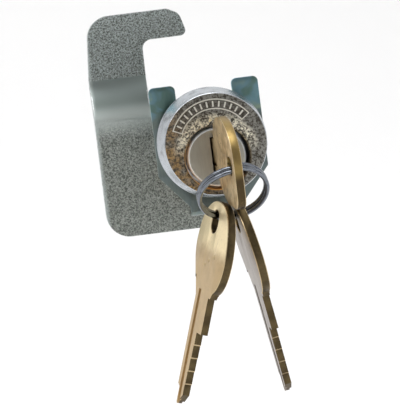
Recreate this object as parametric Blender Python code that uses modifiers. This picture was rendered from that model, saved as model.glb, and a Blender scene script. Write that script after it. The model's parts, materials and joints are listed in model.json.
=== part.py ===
"""Cam lock with a hook cam, a slide-on mounting clip, a split ring and three keys.

World frame, in metres: +X right, +Y through the door (the lock faces -Y), +Z up.
The origin lies on the seat of the head, on the upright centre line above the barrel.
Most pieces are drawn flat in a "lock plane": local X right, local Y up and local Z
towards the person at the door, which one rotation about X turns into the world frame.
"""

import math

import bmesh
import bpy
from mathutils import Matrix, Vector

MM = 0.001
OBJECT_NAME = "hook_cam_lock"

# Head and barrel, radii about the barrel axis
BARREL_AXIS_Z = -11.7 * MM
FACE_RADIUS = 12.7 * MM
SEAT_RADIUS = 13.9 * MM
HEAD_HEIGHT = 6.0 * MM
RIM_BEVEL = 0.45 * MM
SEAT_BAND = 0.6 * MM
BARREL_RADIUS = 9.525 * MM
BARREL_HALF_FLAT = 7.95 * MM
BARREL_LENGTH = 22.2 * MM

# Plug, about its own axis below the barrel axis
PLUG_DROP = 3.35 * MM
PLUG_AXIS_Z = BARREL_AXIS_Z - PLUG_DROP
PLUG_RADIUS = 5.7 * MM
PLUG_BORE_RADIUS = 5.85 * MM
PLUG_HEAD_RADIUS = 7.25 * MM
PLUG_HEAD_BORE_RADIUS = 7.95 * MM
PLUG_HEAD_FRONT = 5.2 * MM
PLUG_HEAD_BACK = 1.3 * MM
PLUG_HEAD_BEVEL = 0.7 * MM
PLUG_SHOULDER = 1.0 * MM
PLUG_BACK = -BARREL_LENGTH - 0.6 * MM
BORE_OVERRUN = 1.0 * MM
SQUARE_HALF = 3.2 * MM
SQUARE_CORNER_CUT = 0.5 * MM
SQUARE_BACK = PLUG_BACK - 3.7 * MM
STUD_RADIUS = 2.6 * MM
STUD_BACK = PLUG_BACK - 9.8 * MM
STUD_CHAMFER = 0.3 * MM

# Key, drawn with u along its length from the shoulder to the tip, and v across its height
KEY_THICKNESS = 2.0 * MM
BLADE_THICKNESS = 1.66 * MM
KEY_OFFSET = 0.15 * MM
BLADE_HALF = 4.15 * MM
BLADE_LENGTH = 27.4 * MM
BLADE_CENTRE = 0.65 * MM
SHOULDER_STEP = 1.1 * MM
TIP_LENGTH = 4.3 * MM
TIP_BACK = -2.9 * MM
TIP_SLANT = 3.0 * MM
MILLING_BACK = -3.1 * MM
MILLING_FRONT = -0.9 * MM
BOW_LENGTH = 22.0 * MM
BOW_HALF = 10.2 * MM
BOW_BACK_CORNER = (-21.5 * MM, -10.2 * MM, 3.2 * MM)
SPARE_BACK_CORNER = (-21.5 * MM, -8.6 * MM, 9.5 * MM)
BOW_BACK_BELLY = (-9.0 * MM, -10.45 * MM, 9.0 * MM)
BOW_BACK_END = 1.3 * MM
BOW_CENTRE = -0.1 * MM
BOW_NECK = 0.16
RING_HOLE_FROM_END = 4.9 * MM
RING_HOLE_CENTRE = -0.6 * MM
RING_HOLE_HALF_WIDTH = 2.1 * MM
RING_HOLE_HALF_LENGTH = 2.75 * MM
CUT_DEPTH_FIRST = 2.9 * MM
CUT_DEPTH_STEP = 0.25 * MM
CUT_SLOPE = 0.35 * MM
GAP = 0.3 * MM
KEY_SEAT = PLUG_HEAD_FRONT + 1.5 * MM
KEYWAY_LEFT = -1.3 * MM
KEYWAY_CLEARANCE = 0.25 * MM
WARD_DEPTH = 0.45 * MM
WARD_LOW = -1.6 * MM
WARD_HIGH = -0.7 * MM
KEY_GROOVE_DEPTH = 0.6 * MM
KEY_GROOVE_START = -0.6 * MM
PLAIN_GROOVE_LOW = -2.9 * MM
PLAIN_GROOVE_HIGH = -1.9 * MM

# Pin stacks
PIN_COUNT = 5
PIN_FIRST_Y = 3.6 * MM
PIN_PITCH = 3.2 * MM
PIN_RADIUS = 1.3 * MM
PIN_EDGE = 0.15 * MM
PIN_POINT_RADIUS = 0.5 * MM
PIN_CONE = 0.5 * MM
CHAMBER_RADIUS = 1.55 * MM
CHAMBER_FLOOR = 0.3 * MM
KEY_PIN_TOP = 5.45 * MM
DRIVER_BOTTOM = 5.87 * MM
DRIVER_LENGTH = 3.1 * MM
SPRING_WIRE_RADIUS = 0.17 * MM
SPRING_COIL_RADIUS = 1.0 * MM
SPRING_TURNS = 3.5
SPRING_SEAT_GAP = 0.1 * MM
COVER_BOTTOM = 8.35 * MM
COVER_THICKNESS = 0.75 * MM
COVER_HALF_WIDTH = 2.1 * MM
COVER_MARGIN = 0.45 * MM

# Mounting clip
CLIP_FRONT = -2.15 * MM
CLIP_THICKNESS = 1.0 * MM
CLIP_HALF_WIDTH = 14.0 * MM
CLIP_SLOT_HALF = 7.25 * MM
CLIP_TOP = 15.1 * MM
CLIP_BOTTOM = -18.7 * MM
CLIP_LIP_DEPTH = 3.4 * MM
CLIP_TAB_HALF = 6.9 * MM
CLIP_TAB_TOP = -16.2 * MM
CLIP_SHOULDER = -7.8 * MM
CLIP_SHOULDER_ROUND = 0.8 * MM
CLIP_SLOT_FLOOR = -9.95 * MM
CLIP_SLOT_ROUND = 3 * MM
CLIP_TIP_ROUND = 1.3 * MM
GROOVE_HALF = CLIP_SLOT_HALF - GAP

# Pieces stacked on the plug's tail, fronts and thicknesses
WASHER_FRONT = PLUG_BACK - GAP
WASHER_THICKNESS = 0.8 * MM
WASHER_RADIUS = 8.8 * MM
STOP_TAB_INNER = 6.5 * MM
STOP_TAB_OUTER = 8.2 * MM
STOP_TAB_HALF_ANGLE = math.radians(9)
STOP_TAB_REACH = 1.8 * MM
STOP_NOTCH_EXTRA = math.radians(4)
STOP_NOTCH_CLEARANCE = 0.4 * MM
TURN_RANGE = math.radians(90)
CAM_FRONT = WASHER_FRONT - WASHER_THICKNESS - GAP
CAM_THICKNESS = 2.6 * MM
CAM_OFFSET = 4.0 * MM
CAM_BEND_LOW = 5.3 * MM
CAM_BEND_HIGH = 17.9 * MM
CAM_BEND_LINES = 4
LOCK_WASHER_FRONT = CAM_FRONT - CAM_THICKNESS - GAP
LOCK_WASHER_THICKNESS = 1.0 * MM
NUT_FRONT = LOCK_WASHER_FRONT - LOCK_WASHER_THICKNESS - GAP
NUT_THICKNESS = 3.2 * MM
NUT_ACROSS_FLATS = 8.0 * MM
LOCK_WASHER_OVERHANG = 0.4 * MM
LOCK_WASHER_SPLIT = math.radians(5)

# Split ring and the two spare keys that hang on it
RING_WIRE_RADIUS = 0.55 * MM
RING_RADIUS = 7.95 * MM
RING_PITCH = 1.16 * MM
RING_SAG = 0.55 * MM
RING_LEAN = math.radians(38)
RING_TURNS = 2
HANG_SAG = -1.6 * MM

# How each spare key hangs, in degrees: place round the ring, splay, lean back, turn about its length
LEFT_HANG = (-20.5, -18.4, 0, 8.5)
RIGHT_HANG = (12, 9.7, 5, 0)

STEEL = ("steel_zinc", (0.52, 0.54, 0.54), 1.0, 0.35)
RING_STEEL = ("ring_steel", (0.58, 0.60, 0.63), 1.0, 0.2)
PEWTER = ("head_pewter", (0.42, 0.38, 0.31), 1.0, 0.45)
PLUG_METAL = ("plug_nickel", (0.45, 0.41, 0.37), 1.0, 0.4)
BRASS = ("key_brass", (0.72, 0.55, 0.30), 1.0, 0.35)
PIN_BRASS = ("pin_brass", (0.70, 0.52, 0.26), 1.0, 0.3)
SPRING_STEEL = ("spring_steel", (0.60, 0.60, 0.62), 1.0, 0.25)
CAM_METAL = ("cam_grain", (0.33, 0.35, 0.33), 1.0, 0.55)
CLIP_METAL = ("clip_zinc", (0.30, 0.42, 0.42), 1.0, 0.4)

LOCK_PLANE = Matrix.Translation((0, 0, BARREL_AXIS_Z)) @ Matrix.Rotation(math.pi / 2, 4, "X")
PLUG_PLANE = Matrix.Translation((0, 0, PLUG_AXIS_Z)) @ Matrix.Rotation(math.pi / 2, 4, "X")


def clear_scene():
    for obj in list(bpy.data.objects):
        bpy.data.objects.remove(obj)


def new_collection(name):
    collection = bpy.data.collections.new(name)
    bpy.context.scene.collection.children.link(collection)
    return collection


def metal(spec):
    name, colour, metallic, roughness = spec
    material = bpy.data.materials.get(name)
    if material:
        return material
    material = bpy.data.materials.new(name)
    material.use_nodes = True
    shader = material.node_tree.nodes["Principled BSDF"]
    shader.inputs["Base Color"].default_value = (*colour, 1)
    shader.inputs["Metallic"].default_value = metallic
    shader.inputs["Roughness"].default_value = roughness
    return material


def add_object(name, data, place, spec=None, collection=None):
    obj = bpy.data.objects.new(name, data)
    (collection or parts).objects.link(obj)
    obj.matrix_world = place
    if spec:
        data.materials.append(metal(spec))
    return obj


def as_cutter(obj):
    obj.hide_render = True
    obj.display_type = "WIRE"
    return obj


def arc(centre, radius, start_deg, end_deg, steps):
    """Points on an arc about a centre, both ends included."""
    points = []
    for i in range(steps + 1):
        angle = math.radians(start_deg + (end_deg - start_deg) * i / steps)
        points.append((centre[0] + radius * math.cos(angle), centre[1] + radius * math.sin(angle)))
    return points


def circle(radius, steps):
    return arc((0, 0), radius, 0, 360, steps)[:-1]


def rounded(corners, steps=4):
    """Corners given as (x, y, radius), with each radius drawn as an arc."""
    points = []
    count = len(corners)
    for i, (x, y, radius) in enumerate(corners):
        here = Vector((x, y))
        before = (Vector(corners[i - 1][:2]) - here).normalized()
        after = (Vector(corners[(i + 1) % count][:2]) - here).normalized()
        if radius == 0:
            points.append((x, y))
            continue
        half = before.angle(after) / 2
        centre = here + (before + after).normalized() * (radius / math.sin(half))
        first = here + before * (radius / math.tan(half)) - centre
        last = here + after * (radius / math.tan(half)) - centre
        sweep = first.angle_signed(last)
        for k in range(steps + 1):
            turn = Matrix.Rotation(-sweep * k / steps, 2)
            points.append(tuple(centre + turn @ first))
    return points


def weld(mesh, distance=1e-6):
    bm = bmesh.new()
    bm.from_mesh(mesh)
    bmesh.ops.remove_doubles(bm, verts=bm.verts, dist=distance)
    bm.to_mesh(mesh)
    bm.free()


def plate(name, outlines, front, thickness, place, spec=None, collection=None):
    """A flat piece between front and front - thickness, from an outline and its holes."""
    curve = bpy.data.curves.new(name, "CURVE")
    curve.dimensions = "2D"
    curve.fill_mode = "BOTH"
    curve.extrude = thickness / 2
    for outline in outlines:
        spline = curve.splines.new("POLY")
        spline.points.add(len(outline) - 1)
        for point, (x, y) in zip(spline.points, outline):
            point.co = (x, y, 0, 1)
        spline.use_cyclic_u = True
    drawn = bpy.data.objects.new(name + "_outline", curve)
    parts.objects.link(drawn)
    mesh = bpy.data.meshes.new_from_object(drawn.evaluated_get(bpy.context.evaluated_depsgraph_get()))
    bpy.data.objects.remove(drawn)
    bpy.data.curves.remove(curve)
    mesh.name = name
    weld(mesh)
    mesh.transform(Matrix.Translation((0, 0, front - thickness / 2)))
    return add_object(name, mesh, place, spec, collection)


def turned(name, profile, steps, place, spec=None, collection=None):
    """A profile of (radius, z) points turned about local Z, drawn down its outer side."""
    mesh = bpy.data.meshes.new(name)
    points = [(r, 0, z) for r, z in profile]
    mesh.from_pydata(points, [(i, i + 1) for i in range(len(points) - 1)], [])
    obj = add_object(name, mesh, place, spec, collection)
    screw = obj.modifiers.new("turn", "SCREW")
    screw.steps = steps
    screw.render_steps = steps
    screw.use_merge_vertices = True
    screw.merge_threshold = 1e-6
    screw.use_smooth_shade = True
    return obj


def boolean(obj, other, operation="DIFFERENCE"):
    cut = obj.modifiers.new(other.name, "BOOLEAN")
    cut.operation = operation
    cut.solver = "EXACT"
    cut.object = other


def cut_plate(obj, name, outline, front, thickness, place):
    boolean(obj, as_cutter(plate(name, [outline], front, thickness, place, collection=cutters)))


def joined_plate(obj, name, outline, front, thickness, place):
    piece = as_cutter(plate(name, [outline], front, thickness, place, collection=cutters))
    boolean(obj, piece, "UNION")


def box_outline(x0, x1, y0, y1):
    return [(x0, y0), (x1, y0), (x1, y1), (x0, y1)]


def parent(child, holder):
    world = child.matrix_world.copy()
    bpy.context.view_layer.update()
    child.parent = holder
    child.matrix_parent_inverse = holder.matrix_world.inverted()
    child.matrix_world = world


def upright(x, y, z):
    return Matrix.Translation((x, y, z))


def pin_y(i):
    return PIN_FIRST_Y + PIN_PITCH * i


def chamber_cutter(name, i, z_bottom, z_top):
    profile = [(0, z_top), (CHAMBER_RADIUS, z_top), (CHAMBER_RADIUS, z_bottom), (0, z_bottom)]
    return as_cutter(turned(name, profile, 24, upright(0, pin_y(i), PLUG_AXIS_Z), collection=cutters))


def make_lock_body():
    head = [
        (0, HEAD_HEIGHT),
        (FACE_RADIUS - RIM_BEVEL, HEAD_HEIGHT),
        (FACE_RADIUS, HEAD_HEIGHT - RIM_BEVEL),
        (SEAT_RADIUS, SEAT_BAND),
        (SEAT_RADIUS, 0),
        (0, 0),
    ]
    body = turned("lock_body", head, 64, LOCK_PLANE, PEWTER)
    side = math.degrees(math.acos(BARREL_HALF_FLAT / BARREL_RADIUS))
    double_d = arc((0, 0), BARREL_RADIUS, side, 180 - side, 20)
    double_d += arc((0, 0), BARREL_RADIUS, 180 + side, 360 - side, 20)
    root = 1.0 * MM
    joined_plate(body, "barrel_round", double_d, root, BARREL_LENGTH + root, LOCK_PLANE)
    bore = [
        (0, HEAD_HEIGHT + BORE_OVERRUN),
        (PLUG_HEAD_BORE_RADIUS, HEAD_HEIGHT + BORE_OVERRUN),
        (PLUG_HEAD_BORE_RADIUS, PLUG_SHOULDER),
        (PLUG_BORE_RADIUS, PLUG_SHOULDER),
        (PLUG_BORE_RADIUS, -BARREL_LENGTH - BORE_OVERRUN),
        (0, -BARREL_LENGTH - BORE_OVERRUN),
    ]
    boolean(body, as_cutter(turned("plug_bore", bore, 48, PLUG_PLANE, collection=cutters)))
    for i in range(PIN_COUNT):
        boolean(body, chamber_cutter(f"body_chamber_{i + 1}", i, 4 * MM, 14 * MM))
    pocket_half = COVER_HALF_WIDTH + GAP
    pocket_floor = COVER_BOTTOM - GAP
    pocket_ends = cover_ends(GAP)
    pocket = box_outline(-pocket_half, pocket_half, pocket_floor, 12 * MM)
    cut_plate(body, "cover_pocket", pocket, pocket_ends[0], pocket_ends[0] - pocket_ends[1], LOCK_PLANE)
    groove_front = CLIP_FRONT + GAP
    groove_width = CLIP_THICKNESS + 2 * GAP
    reach = 9 * MM
    right = box_outline(GROOVE_HALF, reach, -reach, reach)
    left = box_outline(-reach, -GROOVE_HALF, -reach, reach)
    cut_plate(body, "clip_groove_right", right, groove_front, groove_width, LOCK_PLANE)
    cut_plate(body, "clip_groove_left", left, groove_front, groove_width, LOCK_PLANE)
    swing = TURN_RANGE / 2 + STOP_TAB_HALF_ANGLE + STOP_NOTCH_EXTRA
    inner = STOP_TAB_INNER - STOP_NOTCH_CLEARANCE
    outer = STOP_TAB_OUTER + STOP_NOTCH_CLEARANCE
    notch = sector(inner, outer, math.pi / 2, swing, 16)
    depth = STOP_TAB_REACH - (-WASHER_FRONT - BARREL_LENGTH) + GAP
    cut_plate(body, "stop_notch", notch, -BARREL_LENGTH + depth, depth + BORE_OVERRUN, PLUG_PLANE)
    return body


def sector(inner, outer, middle, half_angle, steps):
    start = math.degrees(middle - half_angle)
    end = math.degrees(middle + half_angle)
    return arc((0, 0), outer, start, end, steps) + arc((0, 0), inner, end, start, steps)


def cover_ends(extra):
    """Front and back of the strip that closes the pin chambers, in the lock plane."""
    margin = CHAMBER_RADIUS + COVER_MARGIN + extra
    return -pin_y(0) + margin, -pin_y(PIN_COUNT - 1) - margin


def make_chamber_cover():
    front, back = cover_ends(0)
    top = COVER_BOTTOM + COVER_THICKNESS
    outline = box_outline(-COVER_HALF_WIDTH, COVER_HALF_WIDTH, COVER_BOTTOM, top)
    return plate("chamber_cover", [outline], front, front - back, LOCK_PLANE, PIN_BRASS)


def keyway_outline():
    """The key's slot, with the ward that guides the key on its right side."""
    right = KEY_OFFSET + BLADE_THICKNESS / 2 + KEYWAY_CLEARANCE
    bottom = BLADE_CENTRE - BLADE_HALF - KEYWAY_CLEARANCE
    top = BLADE_CENTRE + BLADE_HALF + KEYWAY_CLEARANCE
    ward = right - WARD_DEPTH
    return [(KEYWAY_LEFT, bottom), (right, bottom), (right, WARD_LOW), (ward, WARD_LOW),
            (ward, WARD_HIGH), (right, WARD_HIGH), (right, top), (KEYWAY_LEFT, top)]


def make_plug():
    profile = [
        (0, PLUG_HEAD_FRONT),
        (PLUG_HEAD_RADIUS - PLUG_HEAD_BEVEL, PLUG_HEAD_FRONT),
        (PLUG_HEAD_RADIUS, PLUG_HEAD_FRONT - PLUG_HEAD_BEVEL),
        (PLUG_HEAD_RADIUS, PLUG_HEAD_BACK),
        (PLUG_RADIUS, PLUG_HEAD_BACK),
        (PLUG_RADIUS, PLUG_BACK),
        (STUD_RADIUS, PLUG_BACK),
        (STUD_RADIUS, STUD_BACK + STUD_CHAMFER),
        (STUD_RADIUS - STUD_CHAMFER, STUD_BACK),
        (0, STUD_BACK),
    ]
    plug = turned("plug", profile, 48, PLUG_PLANE, PLUG_METAL)
    root = 0.5 * MM
    front = PLUG_BACK + root
    joined_plate(plug, "cam_square", square(0), front, front - SQUARE_BACK, PLUG_PLANE)
    keyway_front = PLUG_HEAD_FRONT + BORE_OVERRUN
    cut_plate(plug, "keyway", keyway_outline(), keyway_front, keyway_front + BARREL_LENGTH, PLUG_PLANE)
    for i in range(PIN_COUNT):
        boolean(plug, chamber_cutter(f"plug_chamber_{i + 1}", i, CHAMBER_FLOOR, 7 * MM))
    return plug


def square(extra):
    half = SQUARE_HALF + extra
    corner = SQUARE_CORNER_CUT
    return [(half, -half + corner), (half, half - corner), (half - corner, half), (-half + corner, half),
            (-half, half - corner), (-half, -half + corner), (-half + corner, -half), (half - corner, -half)]


def cut_height(i):
    """Height of cut number i above the key's middle line; deeper towards the tip."""
    return BLADE_HALF - CUT_DEPTH_FIRST - CUT_DEPTH_STEP * i


def key_outline(corner):
    """Bow, shoulder, stepped cuts and tip, anticlockwise from the step on its back edge."""
    first = KEY_SEAT + pin_y(0) - PIN_PITCH / 2
    points = [
        (BLADE_LENGTH - TIP_LENGTH, -BLADE_HALF),
        (BLADE_LENGTH - TIP_LENGTH + CUT_SLOPE, TIP_BACK),
        (BLADE_LENGTH - CUT_SLOPE, TIP_BACK),
        (BLADE_LENGTH, TIP_BACK + CUT_SLOPE),
        (BLADE_LENGTH - TIP_SLANT, cut_height(PIN_COUNT - 1)),
    ]
    for i in reversed(range(PIN_COUNT)):
        step = first + PIN_PITCH * i
        points.append((step + CUT_SLOPE, cut_height(i)))
        points.append((step, cut_height(i - 1) if i else BLADE_HALF))
    points += [(0, BLADE_HALF), (0, BLADE_HALF + SHOULDER_STEP)]
    points += bow_front_edge()
    points += bow_back_edge(corner)
    return points


def bow_front_edge():
    """The bow's edge on the cut side, from the neck to the end: an egg, fuller by the blade."""
    points = []
    steps = 14
    for k in range(steps + 1):
        angle = math.pi * (BOW_NECK + (1 - BOW_NECK) * k / steps)
        u = -BOW_LENGTH / 2 * (1 - math.cos(angle))
        fullness = math.sin(angle) ** 0.8 * (1 + 0.10 * math.cos(angle))
        points.append((u, BOW_CENTRE + BOW_HALF * fullness))
    return points


def bow_back_edge(corner):
    """The flatter edge on the back: round a corner, then a straight taper into the blade."""
    start = (-BOW_LENGTH, BOW_CENTRE, 0)
    finish = (BOW_BACK_END, -BLADE_HALF, 0)
    return rounded([start, corner, BOW_BACK_BELLY, finish], 6)[1:]


def ring_hole_outline():
    centre_u = -BOW_LENGTH + RING_HOLE_FROM_END
    straight = RING_HOLE_HALF_LENGTH - RING_HOLE_HALF_WIDTH
    far = arc((centre_u - straight, RING_HOLE_CENTRE), RING_HOLE_HALF_WIDTH, 90, 270, 8)
    near = arc((centre_u + straight, RING_HOLE_CENTRE), RING_HOLE_HALF_WIDTH, -90, 90, 8)
    return far + near


def milling_outline():
    """The part of the key that is milled thinner, ending in a slanting line by the bow."""
    end, side = BLADE_LENGTH + BORE_OVERRUN, BLADE_HALF + 2 * SHOULDER_STEP
    return [(end, -side), (end, side), (MILLING_FRONT, side), (MILLING_BACK, -side)]


def make_key(name, place, corner=SPARE_BACK_CORNER):
    """A key in its own plane: local X along the length, local Y up the height."""
    face, blade_face = KEY_THICKNESS / 2, BLADE_THICKNESS / 2
    outlines = [key_outline(corner), ring_hole_outline()]
    key = plate(name, outlines, face, KEY_THICKNESS, place, BRASS)
    cut_plate(key, name + "_milling_1", milling_outline(), blade_face + BORE_OVERRUN, BORE_OVERRUN, place)
    cut_plate(key, name + "_milling_2", milling_outline(), -blade_face, BORE_OVERRUN, place)
    inside = face - KEY_GROOVE_DEPTH
    end = BLADE_LENGTH + BORE_OVERRUN
    low, high = WARD_LOW - BLADE_CENTRE - GAP, WARD_HIGH - BLADE_CENTRE + GAP
    warded = box_outline(KEY_GROOVE_START, end, low, high)
    cut_plate(key, name + "_ward_groove", warded, inside + BORE_OVERRUN, BORE_OVERRUN, place)
    plain = box_outline(KEY_GROOVE_START, end, PLAIN_GROOVE_LOW, PLAIN_GROOVE_HIGH)
    cut_plate(key, name + "_plain_groove", plain, -inside, BORE_OVERRUN, place)
    return key


def inserted_key_place():
    """Local X runs into the lock, local Y up and local Z to the right."""
    axes = Matrix(((0, 0, 1, 0), (1, 0, 0, 0), (0, 1, 0, 0), (0, 0, 0, 1)))
    return Matrix.Translation((KEY_OFFSET, -KEY_SEAT, PLUG_AXIS_Z + BLADE_CENTRE)) @ axes


def make_key_pin(i):
    """The lower pin, whose blunt cone rests on the key's cut."""
    tip = BLADE_CENTRE + cut_height(i) + GAP
    profile = [
        (0, KEY_PIN_TOP),
        (PIN_RADIUS - PIN_EDGE, KEY_PIN_TOP),
        (PIN_RADIUS, KEY_PIN_TOP - PIN_EDGE),
        (PIN_RADIUS, tip + PIN_CONE),
        (PIN_POINT_RADIUS, tip),
        (0, tip),
    ]
    return turned(f"key_pin_{i + 1}", profile, 16, upright(0, pin_y(i), PLUG_AXIS_Z), PIN_BRASS)


def make_driver_pin(i):
    top = DRIVER_BOTTOM + DRIVER_LENGTH
    profile = [
        (0, top),
        (PIN_RADIUS - PIN_EDGE, top),
        (PIN_RADIUS, top - PIN_EDGE),
        (PIN_RADIUS, DRIVER_BOTTOM + PIN_EDGE),
        (PIN_RADIUS - PIN_EDGE, DRIVER_BOTTOM),
        (0, DRIVER_BOTTOM),
    ]
    return turned(f"driver_pin_{i + 1}", profile, 16, upright(0, pin_y(i), PLUG_AXIS_Z), PIN_BRASS)


def coil(name, radius, wire, turns, low, high, per_turn, place, spec):
    """An open coil about local Z, its wire's middle running from low to high."""
    curve = bpy.data.curves.new(name, "CURVE")
    curve.dimensions = "3D"
    curve.bevel_depth = wire
    curve.bevel_resolution = 2
    curve.use_fill_caps = True
    curve.resolution_u = 1
    curve.render_resolution_u = 0
    spline = curve.splines.new("POLY")
    count = round(turns * per_turn)
    spline.points.add(count)
    for k, point in enumerate(spline.points):
        angle = 2 * math.pi * k / per_turn
        height = low + (high - low) * k / count
        point.co = (radius * math.cos(angle), radius * math.sin(angle), height, 1)
    return add_object(name, curve, place, spec)


def make_pin_spring(i):
    margin = SPRING_SEAT_GAP + SPRING_WIRE_RADIUS
    low = DRIVER_BOTTOM + DRIVER_LENGTH + margin
    high = COVER_BOTTOM + PLUG_DROP - margin
    place = upright(0, pin_y(i), PLUG_AXIS_Z)
    name = f"pin_spring_{i + 1}"
    return coil(name, SPRING_COIL_RADIUS, SPRING_WIRE_RADIUS, SPRING_TURNS, low, high, 10, place, SPRING_STEEL)


def make_mounting_clip():
    """A horseshoe that slides up over the barrel, with a bent lip to pull it off by."""
    side, slot, tab = CLIP_HALF_WIDTH, CLIP_SLOT_HALF, CLIP_TAB_HALF
    half = [
        (tab, CLIP_BOTTOM, 0),
        (tab, CLIP_TAB_TOP, 0),
        (side, CLIP_SHOULDER, CLIP_SHOULDER_ROUND),
        (side, CLIP_TOP, CLIP_TIP_ROUND),
        (slot, CLIP_TOP, CLIP_TIP_ROUND),
        (slot, CLIP_SLOT_FLOOR, CLIP_SLOT_ROUND),
    ]
    corners = half + [(-x, y, radius) for x, y, radius in reversed(half)]
    depth = CLIP_LIP_DEPTH
    clip = plate("mounting_clip", [rounded(corners)], CLIP_FRONT, depth, LOCK_PLANE, CLIP_METAL)
    reach = CLIP_TOP - CLIP_BOTTOM
    behind = box_outline(-reach, reach, CLIP_BOTTOM + CLIP_THICKNESS, reach)
    cut_plate(clip, "clip_back_space", behind, CLIP_FRONT - CLIP_THICKNESS, depth, LOCK_PLANE)
    return clip


def make_stop_washer():
    outlines = [circle(WASHER_RADIUS, 40), square(GAP)]
    washer = plate("stop_washer", outlines, WASHER_FRONT, WASHER_THICKNESS, PLUG_PLANE, STEEL)
    middle = math.pi / 2 + TURN_RANGE / 2
    tab = sector(STOP_TAB_INNER, STOP_TAB_OUTER, middle, STOP_TAB_HALF_ANGLE, 4)
    root = WASHER_THICKNESS / 2
    joined_plate(washer, "stop_tab", tab, WASHER_FRONT + STOP_TAB_REACH, STOP_TAB_REACH + root, PLUG_PLANE)
    return washer


def cam_outline():
    """The hook, about the barrel axis: foot, arm and a tip that points back to the right."""
    return rounded([
        (5.8 * MM, -26.2 * MM, 8 * MM),
        (6.8 * MM, 4.4 * MM, 8 * MM),
        (-11.3 * MM, 4.4 * MM, 2 * MM),
        (-11.0 * MM, 27.6 * MM, 2.6 * MM),
        (2.1 * MM, 27.6 * MM, 1.6 * MM),
        (0.3 * MM, 34.1 * MM, 3.0 * MM),
        (-3.1 * MM, 35.8 * MM, 2.5 * MM),
        (-25.8 * MM, 35.8 * MM, 6.5 * MM),
        (-27.4 * MM, 17.9 * MM, 0),
        (-27.4 * MM, -26.2 * MM, 6.5 * MM),
    ], 6)


def make_hook_cam():
    hole = [(x, y - PLUG_DROP) for x, y in square(GAP)]
    cam = plate("hook_cam", [cam_outline(), hole], CAM_FRONT, CAM_THICKNESS, LOCK_PLANE, CAM_METAL)
    rise = CAM_BEND_HIGH - CAM_BEND_LOW
    bm = bmesh.new()
    bm.from_mesh(cam.data)
    for k in range(CAM_BEND_LINES + 1):
        level = CAM_BEND_LOW + rise * k / CAM_BEND_LINES
        everything = bm.verts[:] + bm.edges[:] + bm.faces[:]
        bmesh.ops.bisect_plane(bm, geom=everything, plane_co=(0, level, 0), plane_no=(0, 1, 0), dist=1e-7)
    for vert in bm.verts:
        t = min(max((vert.co.y - CAM_BEND_LOW) / rise, 0), 1)
        vert.co.z -= CAM_OFFSET * t * t * (3 - 2 * t)
    bm.to_mesh(cam.data)
    bm.free()
    return cam


def make_lock_washer():
    inner = STUD_RADIUS + GAP
    outer = NUT_ACROSS_FLATS / 2 + LOCK_WASHER_OVERHANG
    outline = sector(inner, outer, math.pi, math.pi - LOCK_WASHER_SPLIT, 36)
    return plate("lock_washer", [outline], LOCK_WASHER_FRONT, LOCK_WASHER_THICKNESS, PLUG_PLANE, STEEL)


def make_cam_nut():
    outlines = [circle(NUT_ACROSS_FLATS / math.sqrt(3), 6), circle(STUD_RADIUS + GAP, 24)]
    return plate("cam_nut", outlines, NUT_FRONT, NUT_THICKNESS, PLUG_PLANE, STEEL)


def ring_pivot():
    """Middle of the ring's wire where it passes through the inserted key."""
    hole_u = -BOW_LENGTH + RING_HOLE_FROM_END
    return Vector((KEY_OFFSET, -KEY_SEAT + hole_u, PLUG_AXIS_Z + BLADE_CENTRE + RING_HOLE_CENTRE - RING_SAG))


def ring_down():
    """Unit vector from the pivot to the far side of the ring."""
    return Vector((0, math.sin(RING_LEAN), -math.cos(RING_LEAN)))


def make_key_ring():
    centre = ring_pivot() + ring_down() * RING_RADIUS
    across = Vector((1, 0, 0))
    normal = across.cross(ring_down())
    axes = Matrix((-ring_down(), across, -normal)).transposed().to_4x4()
    place = Matrix.Translation(centre) @ axes
    half = RING_PITCH * RING_TURNS / 2
    return coil("key_ring", RING_RADIUS, RING_WIRE_RADIUS, RING_TURNS, -half, half, 40, place, RING_STEEL)


def ring_point(angle):
    """A point on the ring, with its angle measured from the lowest point towards +X."""
    centre = ring_pivot() + ring_down() * RING_RADIUS
    return centre + RING_RADIUS * (math.sin(angle) * Vector((1, 0, 0)) + math.cos(angle) * ring_down())


def hanging_place(angle_deg, splay_deg, lean_deg, facing_deg):
    """A key hung on the ring: splayed sideways, leaning back, turned about its own length."""
    angle, splay, lean, facing = (math.radians(a) for a in (angle_deg, splay_deg, lean_deg, facing_deg))
    along = Vector((math.sin(splay) * math.cos(lean), math.sin(lean), -math.cos(splay) * math.cos(lean)))
    side = Vector((-math.cos(splay), 0, -math.sin(splay)))
    front = side.cross(along)
    normal = math.cos(facing) * side + math.sin(facing) * front
    height = normal.cross(along)
    axes = Matrix((along, height, normal)).transposed().to_4x4()
    hole = Vector((-BOW_LENGTH + RING_HOLE_FROM_END + HANG_SAG, RING_HOLE_CENTRE, 0))
    return Matrix.Translation(ring_point(angle)) @ axes @ Matrix.Translation(-hole)


clear_scene()
parts = new_collection(OBJECT_NAME)
cutters = new_collection("cutters")

body = make_lock_body()
plug = make_plug()
parent(plug, body)
parent(make_chamber_cover(), body)
parent(make_mounting_clip(), body)
for index in range(PIN_COUNT):
    parent(make_key_pin(index), plug)
    parent(make_driver_pin(index), body)
    parent(make_pin_spring(index), body)
for make in (make_stop_washer, make_hook_cam, make_lock_washer, make_cam_nut):
    parent(make(), plug)
inserted = make_key("inserted_key", inserted_key_place(), BOW_BACK_CORNER)
parent(inserted, plug)
ring = make_key_ring()
parent(ring, inserted)
parent(make_key("spare_key_left", hanging_place(*LEFT_HANG)), ring)
parent(make_key("spare_key_right", hanging_place(*RIGHT_HANG)), ring)
for obj in parts.objects:
    if obj.type == "MESH":
        obj.data.shade_smooth()
        obj.data.set_sharp_from_angle(angle=math.radians(35))
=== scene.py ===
"""Looks for a cam lock with a hook cam and a ring of keys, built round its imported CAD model.

Plates and turned parts are drawn in the "lock plane": X right, Y up and Z towards the person
at the door. Keys are drawn along their length. Each point keeps the place it was drawn at in
the attribute "drawn", in metres, and the materials read it from there.
"""

import json
import math

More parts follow.
